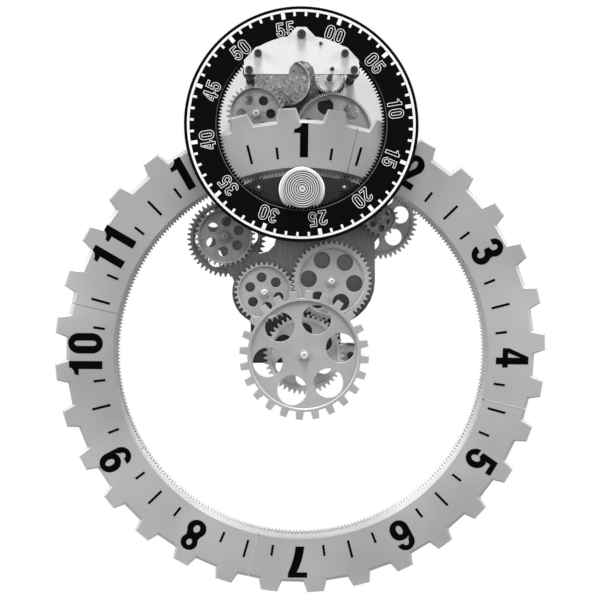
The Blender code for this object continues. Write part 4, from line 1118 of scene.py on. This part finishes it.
# Front plate: a steel sheet in white gloss over the top of the opening, with a dark back. Two
# screws fix it to the posts, and three studs and a pin stand in it.
SHEET_SPLIT = 0.0844
SHEET_FRONT = 0.0853
PIN_SPOT = (0.0211, 0.3464)
SCREW_R = 0.0042
TOP_STUD_R = 0.0049
SHANK_R = 0.002
PAD_R = 0.0055
SHANK = (SHANK_R, 0.0822, 0.0820)
PAD = (PAD_R, 0.0817, 0.0783)
white_gloss = clouded("white_gloss_lacquer", 0.76, 0.3, (0.74, 0.78), 25.0, coat=0.15)
vary_roughness(white_gloss, noise_at(white_gloss, 300.0), 0.25, 0.35)
front_plate = node_copy("front_plate")
cut_at(front_plate, SHEET_SPLIT, True)
sheet = new_piece("front_sheet", front_plate, Matrix(), white_gloss, "frame", "white_plate", "front_plate")
sheet.data.shade_flat()
# The back part of the sheet is dark steel: painted shade for the plate's lower edge.
front_backing = node_copy("front_plate")
cut_at(front_backing, SHEET_SPLIT, False)
new_piece("front_sheet_backing", front_backing, Matrix(), dark_steel, "frame", "dark_steel")


def screw(name, node, head_r, pad_r, pad_front, back):
    """A round headed screw with a dimple in its head, and its pad or shank behind the plate."""
    low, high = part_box(node)
    middle = ((low.x + high.x) / 2, (low.z + high.z) / 2 + HANGING_RISE)
    front = -low.y
    profile = (
        (0.0, front - 0.0012), (0.0009, front - 0.0010), (0.0014, front - 0.0001), (0.0020, front),
        (head_r - 0.0010, front - 0.0003), (head_r - 0.0002, front - 0.0012), (head_r, front - 0.0024),
        (head_r, SHEET_FRONT), (SHANK_R, SHEET_FRONT), (SHANK_R, pad_front), (pad_r, pad_front),
        (pad_r, back), (0.0, back),
    )
    new_piece(name, spun(profile, 40), at(*middle), dark_steel, "frame", "dark_steel", node)


pin = spun(((0.0, 0.0016), (0.0008, 0.0015), (0.0016, 0.0010), (0.0020, 0.0), (0.0, 0.0)), 24)
new_piece("front_pin", pin, at(*PIN_SPOT, SHEET_FRONT), dark_steel, "frame", "dark_steel")
screw("left_screw", "left_post_screw", SCREW_R, *SHANK)
screw("right_screw", "right_post_screw", SCREW_R, *SHANK)
screw("top_stud", "top_guide_stud", TOP_STUD_R, *PAD)
screw("left_ear_stud", "left_ear_guide_stud", SCREW_R, *PAD)
screw("right_ear_stud", "right_ear_guide_stud", SCREW_R, *PAD)

# Studio: a pale floor well under the clock, a white surround, a broad lamp overhead and a weaker
# one on each side. The camera and reflections see the floor and surround white.
FLOOR_DROP = 1.6
FLOOR_HALF = 2.0
FLOOR_SHADE = 0.3
AMBIENT = 0.22
AIM = Matrix.Translation((0.0, 0.0, -0.25))
LAMP_DISTANCE = 6.0


def background_level(tree, unseen):
    """A node that gives 1 to the camera and to reflections, and this level to other light."""
    rays = tree.nodes.new("ShaderNodeLightPath")
    seen = rays.outputs["Is Camera Ray"]
    for kind in ("Is Glossy Ray", "Is Transmission Ray"):
        either = tree.nodes.new("ShaderNodeMath")
        either.operation = "MAXIMUM"
        tree.links.new(seen, either.inputs[0])
        tree.links.new(rays.outputs[kind], either.inputs[1])
        seen = either.outputs[0]
    level = tree.nodes.new("ShaderNodeMapRange")
    level.inputs["To Min"].default_value = unseen
    tree.links.new(seen, level.inputs["Value"])
    return level


floor_data = bpy.data.meshes.new("floor")
floor_work = bmesh.new()
floor_place = Matrix.Translation((0.0, 0.0, -FLOOR_DROP))
bmesh.ops.create_grid(floor_work, x_segments=1, y_segments=1, size=FLOOR_HALF, matrix=floor_place)
floor_work.to_mesh(floor_data)
floor_work.free()
pale_floor = new_material("pale_floor", grey(0.82), 0.8)
floor_cloud = noise_at(pale_floor, 3.0)
floor_shades = vary_colour(pale_floor, floor_cloud, grey(0.80), grey(0.84))
floor_level = background_level(pale_floor.node_tree, FLOOR_SHADE)
floor_scale = add_node(pale_floor, "ShaderNodeVectorMath", operation="SCALE")
pale_floor.node_tree.links.new(floor_shades.outputs["Color"], floor_scale.inputs[0])
link(pale_floor, floor_level, "Result", floor_scale, "Scale")
link(pale_floor, floor_scale, "Vector", shader_of(pale_floor), "Base Color")
floor_data.materials.append(pale_floor)
floor = bpy.data.objects.new("floor", floor_data)
bpy.context.scene.collection.objects.link(floor)

world = bpy.data.worlds.new("studio")
bpy.context.scene.world = world
world.use_nodes = True
surround = world.node_tree.nodes["Background"]
surround.inputs["Color"].default_value = (1.0, 1.0, 1.0, 1.0)
world_level = background_level(world.node_tree, AMBIENT)
world.node_tree.links.new(world_level.outputs["Result"], surround.inputs["Strength"])


def area_lamp(name, size, power, turn, rise):
    """A square lamp that shines on the clock from this turn to the right and this rise."""
    lamp_data = bpy.data.lights.new(name, "AREA")
    lamp_data.shape = "SQUARE"
    lamp_data.size = size
    lamp_data.energy = power
    lamp = bpy.data.objects.new(name, lamp_data)
    turned = Matrix.Rotation(math.radians(turn), 4, "Z")
    raised = Matrix.Rotation(math.radians(90.0 - rise), 4, "X")
    lamp.matrix_world = AIM @ turned @ raised @ Matrix.Translation((0.0, 0.0, LAMP_DISTANCE))
    bpy.context.scene.collection.objects.link(lamp)


area_lamp("overhead_lamp", size=2.4, power=620.0, turn=0.0, rise=74.0)
area_lamp("left_lamp", size=2.5, power=260.0, turn=-72.0, rise=22.0)
area_lamp("right_lamp", size=2.5, power=210.0, turn=72.0, rise=22.0)
bpy.context.scene.view_settings.view_transform = "Standard"
